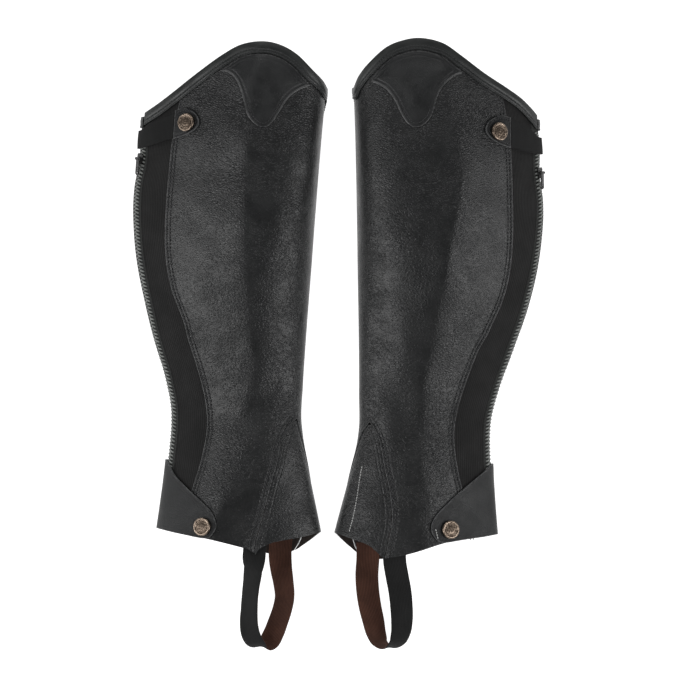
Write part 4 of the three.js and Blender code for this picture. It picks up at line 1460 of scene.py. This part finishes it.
def make_knee_patch(tube):
    def crown(rim):
        edge = 0.6 * smooth(rim, 0, 2.2)
        groove = 0.26 * np.exp(-(((rim - 3.4) / 0.8) ** 2))
        return edge - groove + 0.7 * smooth(rim, 3.8, 14)

    leather = smooth_leather("Patch leather", colours().leather, 0.55)
    sheet_piece(
        "knee_patch", patch_cut(tube), GAP + 0.65, sizes().patch / MM - 0.3,
        (leather, finish("Flesh side", flesh_look), leather), "patch", crown,
    )


def make_calf_strap(tube):
    band = strap_cut(tube, CALF_ELASTIC[tube.side], STRAP_TAIL, 36, 14)
    sheet_piece(
        "calf_elastic", band, ELASTIC_STAND, 1.5, (elastic_band(),) * 3, "elastic"
    )
    sheet_piece(
        "calf_tab", tab_cut(tube), STRAP_STAND, sizes().strap / MM, strap_finishes(), "leather",
        tab_lift,
    )


def tab_lift(rim):
    return 0.12 * smooth(rim, 0.4, 1.0) - 0.3 * np.exp(-(((rim - 2.4) / 0.55) ** 2))


def make_ankle_strap(tube):
    cut = strap_cut(tube, ANKLE_STRAP[tube.side], STRAP_TAIL, 64, 40)
    sheet_piece(
        "ankle_strap", cut, STRAP_STAND, sizes().strap / MM, strap_finishes(), "leather",
    )


def catmull(points, per):
    """A smooth curve through points, with per steps from each to the next, and its tangents."""
    first, last = 2 * points[0] - points[1], 2 * points[-1] - points[-2]
    padded = np.concatenate([[first], points, [last]])
    out, ahead = [], []
    for k in range(1, len(padded) - 2):
        p0, p1, p2, p3 = padded[k - 1:k + 3]
        d0, d1, d2 = (np.linalg.norm(b - a) ** 0.5 for a, b in ((p0, p1), (p1, p2), (p2, p3)))
        m1 = ((p1 - p0) / d0 - (p2 - p0) / (d0 + d1) + (p2 - p1) / d1) * d1
        m2 = ((p2 - p1) / d1 - (p3 - p1) / (d1 + d2) + (p3 - p2) / d2) * d1
        steps = np.arange(per) / per if k < len(padded) - 3 else np.arange(per + 1) / per
        for t in steps:
            t2, t3 = t * t, t * t * t
            out.append((2 * t3 - 3 * t2 + 1) * p1 + (t3 - 2 * t2 + t) * m1
                       + (3 * t2 - 2 * t3) * p2 + (t3 - t2) * m2)
            ahead.append((6 * t2 - 6 * t) * p1 + (3 * t2 - 4 * t + 1) * m1
                         + (6 * t - 6 * t2) * p2 + (3 * t2 - 2 * t) * m2)
    return np.array(out), unit(np.array(ahead))


def make_foot_strap(tube):
    route, sewn = FOOT_STRAP[tube.side], 2
    points = np.stack([route["across"], route["along"], route["up"]], axis=-1)
    tilt = route["tilt"].copy()
    thick = 1.6
    for k in range(sewn):
        across, along = points[k, 0], points[k, 1]
        turn = tube.turn_at(np.array([across]), np.array([along]))
        points[k] = tube.off(turn, along, -(2.0 + 3 * GAP + thick / 2))[0]
        around = tube.per_turn(turn, along)[0]
        tilt[k] = math.degrees(math.atan2(around[2], around[0]))
    per = 8
    middle, ahead = catmull(points, per)
    at = np.interp(np.arange(len(middle)) / per, np.arange(len(tilt)), tilt)
    angle = np.radians(at)
    x = np.stack([np.cos(angle), 0 * angle, np.sin(angle)], axis=-1)
    x = unit(x - ahead * (x * ahead).sum(axis=-1, keepdims=True))
    y = np.cross(ahead, x)
    half, t = sizes().ribbon / MM / 2, thick / 2 - 0.05
    across_at = np.linspace(-1, 1, 13)
    outer = [(0.99 * half * a, t * (1 - 0.5 * abs(a) ** 14)) for a in across_at]
    inner = [(a, -b) for a, b in outer[::-1]]
    outline = outer + [(half, 0)] + inner + [(-half, 0)]
    rings = np.stack([middle + x * a + y * b for a, b in outline], axis=1)
    sides = [0] * 13 + [1] * 13 + [0] * 2
    piece = sweep(
        f"{tube.side}_foot_strap_piece", tube.world(rings), outline, run_of(middle), sides
    )
    give(piece, elastic_band(), elastic_band("Brown elastic", colours().brown))
    finish_piece(piece, "elastic", f"{tube.side}_foot_strap")


# --- snaps


def insets(*steps):
    """Insets the selected faces again and again, by (width, rise) in mm."""
    for width, rise in steps:
        bpy.ops.mesh.inset(thickness=width * MM, depth=rise * MM)


def snap_cap():
    """One snap cap: a rolled rim, a groove and a dished centre with a plain rosette."""
    radius = sizes().snap
    rim = finish("Snap rim", metal_look, (0.36, 0.285, 0.225), (0.15, 0.115, 0.09), 0.26)
    centre = finish(
        "Snap centre", metal_look, colours().brass, (0.06, 0.044, 0.033), 0.36
    )
    bpy.ops.object.select_all(action="DESELECT")
    bpy.ops.mesh.primitive_cone_add(
        vertices=56, radius1=radius - 0.0008, radius2=radius, depth=0.0007,
        location=(0, 0, 0.00035), end_fill_type="NGON",
    )
    cap = bpy.context.object
    cap.name = "snap_cap"
    give(cap, rim, centre)
    bpy.ops.object.transform_apply(location=True, rotation=True, scale=True)
    for part in (*cap.data.polygons, *cap.data.edges, *cap.data.vertices):
        part.select = False
    for face in cap.data.polygons:
        face.select = face.normal.z > 0.9
    bpy.ops.object.mode_set(mode="EDIT")
    bpy.ops.mesh.select_mode(type="FACE")
    bpy.ops.mesh.extrude_region_move(TRANSFORM_OT_translate={"value": (0, 0, 0.0016)})
    insets((0.25, 0.4), (0.5, 0.3), (0.6, 0.0), (0.5, -0.3), (0.3, -0.5), (0.4, -0.1))
    cap.active_material_index = 1
    bpy.ops.object.material_slot_assign()
    insets((0.2, 0.4), (0.5, 0.1), (0.3, -0.3), (0.8, 0.1), (0.6, 0.2))
    bpy.ops.object.mode_set(mode="OBJECT")
    top = max(vertex.co.z for vertex in cap.data.vertices if vertex.co.xy.length < 0.003)
    petals = []
    for k in range(9):
        angle = math.radians(45 * k)
        out = 0.0019 if k < 8 else 0.0
        bpy.ops.mesh.primitive_uv_sphere_add(
            segments=12, ring_count=8, radius=0.00062 if k < 8 else 0.0009,
            location=(out * math.cos(angle), out * math.sin(angle), top),
        )
        petal = bpy.context.object
        petal.scale = (1.25, 0.8, 0.55) if k < 8 else (1, 1, 0.6)
        petal.rotation_euler.z = angle
        give(petal, centre)
        petals.append(petal)
    only(cap)
    for petal in petals:
        petal.select_set(True)
    bpy.ops.object.join()
    rounded(cap, 0.0001, 35)
    shade(cap, 50)
    return cap


def seat_on(tube, across, along, stand):
    """The place and turn of something that sits on the outer side."""
    at = np.array([along], float)
    turn = tube.turn_at(np.array([across], float), at)
    place = tube.place(turn, at, stand)[0]
    above = tube.place(turn, at, stand + 1)[0]
    up_leg = tube.place(turn, at + 1, stand)[0]
    z = Vector(above - place).normalized()
    x = Vector(up_leg - place).cross(z).normalized()
    y = z.cross(x)
    turn_to = Matrix((x, y, z)).transposed().to_4x4()
    return Matrix.Translation(Vector(place)) @ turn_to


# --- topstitching


def outline_row(cut, inset, stand, made, pitch, skip=None):
    """A row of stitches that runs a little inside a cut's outline."""
    tube = cut.tube
    turn, along, _, faces = cut.done()
    loop = boundary_loop(faces)
    a, b = turn[loop], along[loop]
    points = tube.point(a, b)
    ahead = unit(np.roll(points, -1, axis=0) - np.roll(points, 1, axis=0))
    inward = np.cross(tube.normal(a, b), ahead)
    inward_turn, inward_along = tube.steps(a, b, inward * inset)
    where = np.flatnonzero(np.ones(len(a), bool) if skip is None else ~skip(points))
    runs = np.split(where, np.flatnonzero(np.diff(where) > 1) + 1)
    if len(runs) > 1 and runs[0][0] == 0 and runs[-1][-1] == len(a) - 1:
        runs[0] = np.concatenate([runs.pop(), runs[0]])
    for run in runs:
        if len(run) > 3:
            add_row(tube, made, inward_turn[run], inward_along[run], stand, pitch)


def make_topstitching(tube):
    seams, patch, tab = [], [], []
    gore_line = tube.beside(tube.gore_seam, GAP / 2)
    near = tube.beside(tube.gusset_near, -GAP)
    for line, inset, low, high in (
        (gore_line, 2.1, -99.0, GORE_STITCHES[tube.side]),
        (gore_line, 5.1, -99.0, GORE_STITCHES[tube.side]),
        (near, -1.9, -109.0, -3.0), (near, -4.6, -109.0, -3.0),
    ):
        add_row(tube, seams, *edge_row(tube, line, inset, low, high), 0.18)
    bars(tube, "seam_stitches", seams, 0.4, thread(), "leather")
    if tube.side == "right":
        make_pale_stitches(tube)
    outline_row(patch_cut(tube), 3.3, GAP + 1.1, patch, 2.7, lambda p: p[:, 1] > 268)
    bars(tube, "patch_stitches", patch, 0.3, thread(), "patch")
    outline_row(tab_cut(tube), 2.4, STRAP_STAND, tab, 2.4)
    bars(tube, "tab_stitches", tab, 0.28, thread(), "leather")


def make_pale_stitches(tube):
    """Rows in pale thread, down the front of the gusset and beside the ankle strap's end."""
    pale = []
    front = Track(FRONT_ROW, "across")
    along = np.arange(-90.0, -33.0, 1.0)
    add_row(tube, pale, tube.turn_at(front(along), along), along, 0.2, 2.2)
    along = np.arange(-97.0, -87.0, 0.5)
    across = lerp(-64.4, -62.0, (along + 97) / 10)
    add_row(tube, pale, tube.turn_at(across, along), along, STRAP_STAND + 0.2, 2.2)
    pale_thread = finish("Pale thread", thread_look, (0.55, 0.55, 0.54))
    bars(tube, "pale_stitches", pale, 0.36, pale_thread, "leather")


# --- operators


def both(make):
    for side in CHAPS:
        make(tube_of(side))


class HALFCHAP_OT_leather(bpy.types.Operator):
    """Add the main leather panels and the instep gussets"""

    bl_idname = "halfchap.leather"
    bl_label = "Leather Panels"

    def execute(self, context):
        both(make_leather)
        both(make_gusset)
        return {"FINISHED"}


class HALFCHAP_OT_gores(bpy.types.Operator):
    """Add the stretch gores behind the calf"""

    bl_idname = "halfchap.gores"
    bl_label = "Stretch Gores"

    def execute(self, context):
        both(make_gore)
        return {"FINISHED"}


class HALFCHAP_OT_zips(bpy.types.Operator):
    """Add the zip tapes and teeth, and finish the sliders and pulls"""

    bl_idname = "halfchap.zips"
    bl_label = "Zips"

    def execute(self, context):
        both(make_zip)
        return {"FINISHED"}


class HALFCHAP_OT_bindings(bpy.types.Operator):
    """Add the bound knee edges and their stitching"""

    bl_idname = "halfchap.bindings"
    bl_label = "Knee Bindings"

    def execute(self, context):
        both(make_binding)
        return {"FINISHED"}


class HALFCHAP_OT_knee_patches(bpy.types.Operator):
    """Add the knee patches"""

    bl_idname = "halfchap.knee_patches"
    bl_label = "Knee Patches"

    def execute(self, context):
        both(make_knee_patch)
        return {"FINISHED"}


class HALFCHAP_OT_calf_straps(bpy.types.Operator):
    """Add the elastic bands and leather tabs at the calf"""

    bl_idname = "halfchap.calf_straps"
    bl_label = "Calf Straps"

    def execute(self, context):
        both(make_calf_strap)
        return {"FINISHED"}


class HALFCHAP_OT_ankle_straps(bpy.types.Operator):
    """Add the leather wraps at the ankle"""

    bl_idname = "halfchap.ankle_straps"
    bl_label = "Ankle Straps"

    def execute(self, context):
        both(make_ankle_strap)
        return {"FINISHED"}


class HALFCHAP_OT_snaps(bpy.types.Operator):
    """Add the four snap caps"""

    bl_idname = "halfchap.snaps"
    bl_label = "Snap Caps"

    def execute(self, context):
        cap = snap_cap()
        for side, chap in CHAPS.items():
            for strap in ("calf", "ankle"):
                copy = cap.copy()
                copy.data = cap.data.copy()
                copy.name = f"{side}_{strap}_snap_piece"
                context.collection.objects.link(copy)
                seat = seat_on(tube_of(side), *chap[f"{strap}_snap"], SNAP_SEAT)
                copy.data.transform(seat)
                finish_piece(copy, "snap_brass", f"{side}_{strap}_snap")
        bpy.data.objects.remove(cap)
        return {"FINISHED"}


class HALFCHAP_OT_foot_straps(bpy.types.Operator):
    """Add the elastic straps that pass under the foot"""

    bl_idname = "halfchap.foot_straps"
    bl_label = "Foot Straps"

    def execute(self, context):
        both(make_foot_strap)
        return {"FINISHED"}


class HALFCHAP_OT_topstitching(bpy.types.Operator):
    """Add the rows of stitches beside the seams"""

    bl_idname = "halfchap.topstitching"
    bl_label = "Topstitching"

    def execute(self, context):
        both(make_topstitching)
        return {"FINISHED"}


class HALFCHAP_OT_studio(bpy.types.Operator):
    """Add the floor, the soft lights and the camera overhead"""

    bl_idname = "halfchap.studio"
    bl_label = "Studio"

    def execute(self, context):
        bpy.ops.object.select_all(action="DESELECT")
        bpy.ops.mesh.primitive_plane_add(size=8, location=(0, 0, -0.0004))
        floor = context.object
        floor.name = "floor"
        give(floor, finish("Studio floor", floor_look))
        for name, place, size, power in (
            ("Left box", (-1.62, -0.42, 1.12), (1.0, 2.1), 25),
            ("Right box", (1.62, -0.5, 1.12), (1.0, 1.7), 21),
            ("Head box", (0.0, 1.7, 1.5), (1.6, 0.9), 10),
            ("Foot box", (0.0, -2.0, 1.2), (1.6, 0.7), 3),
        ):
            lamp = bpy.data.lights.new(name, "AREA")
            lamp.shape, lamp.size, lamp.size_y, lamp.energy = "RECTANGLE", *size, power
            made = bpy.data.objects.new(name, lamp)
            context.collection.objects.link(made)
            made.location = place
            flat = Vector((place[0], 0 if place[0] else place[1], place[2]))
            made.rotation_euler = flat.to_track_quat("Z", "Y").to_euler()
        world = bpy.data.worlds.new("Studio")
        context.scene.world = world
        world.use_nodes = True
        sky = world.node_tree.nodes["Background"]
        sky.inputs["Color"].default_value = (1, 1, 1, 1)
        sky.inputs["Strength"].default_value = 0.10
        context.scene.view_settings.view_transform = "Standard"
        lens = bpy.data.cameras.new("Overhead")
        lens.lens, lens.sensor_width, lens.clip_end = CAMERA["lens"], 36, 20
        camera = bpy.data.objects.new("Overhead", lens)
        context.collection.objects.link(camera)
        camera.location = CAMERA["place"]
        context.scene.camera = camera
        return {"FINISHED"}


CAMERA = {"lens": 433.0, "place": (0.00076, 0.00446, 7.0)}


STEPS = (
    HALFCHAP_OT_leather,
    HALFCHAP_OT_gores,
    HALFCHAP_OT_zips,
    HALFCHAP_OT_bindings,
    HALFCHAP_OT_knee_patches,
    HALFCHAP_OT_calf_straps,
    HALFCHAP_OT_ankle_straps,
    HALFCHAP_OT_snaps,
    HALFCHAP_OT_foot_straps,
    HALFCHAP_OT_topstitching,
    HALFCHAP_OT_studio,
)


class HALFCHAP_PT_panel(bpy.types.Panel):
    bl_idname = "HALFCHAP_PT_panel"
    bl_label = "Half Chaps"
    bl_space_type = "VIEW_3D"
    bl_region_type = "UI"
    bl_category = "Half Chaps"

    def draw(self, context):
        for group in (context.scene.half_chap_sizes, context.scene.half_chap_colours):
            box = self.layout.box()
            for name in type(group).__annotations__:
                box.prop(group, name)
        for step in STEPS:
            self.layout.operator(step.bl_idname)


CLASSES = (HalfChapSizes, HalfChapColours, *STEPS, HALFCHAP_PT_panel)


def register():
    for cls in CLASSES:
        bpy.utils.register_class(cls)
    bpy.types.Scene.half_chap_sizes = PointerProperty(type=HalfChapSizes)
    bpy.types.Scene.half_chap_colours = PointerProperty(type=HalfChapColours)


def unregister():
    del bpy.types.Scene.half_chap_sizes
    del bpy.types.Scene.half_chap_colours
    for cls in reversed(CLASSES):
        bpy.utils.unregister_class(cls)


def main():
    register()
    for step in STEPS:
        group, name = step.bl_idname.split(".")
        getattr(getattr(bpy.ops, group), name)()


if __name__ == "__main__":
    main()
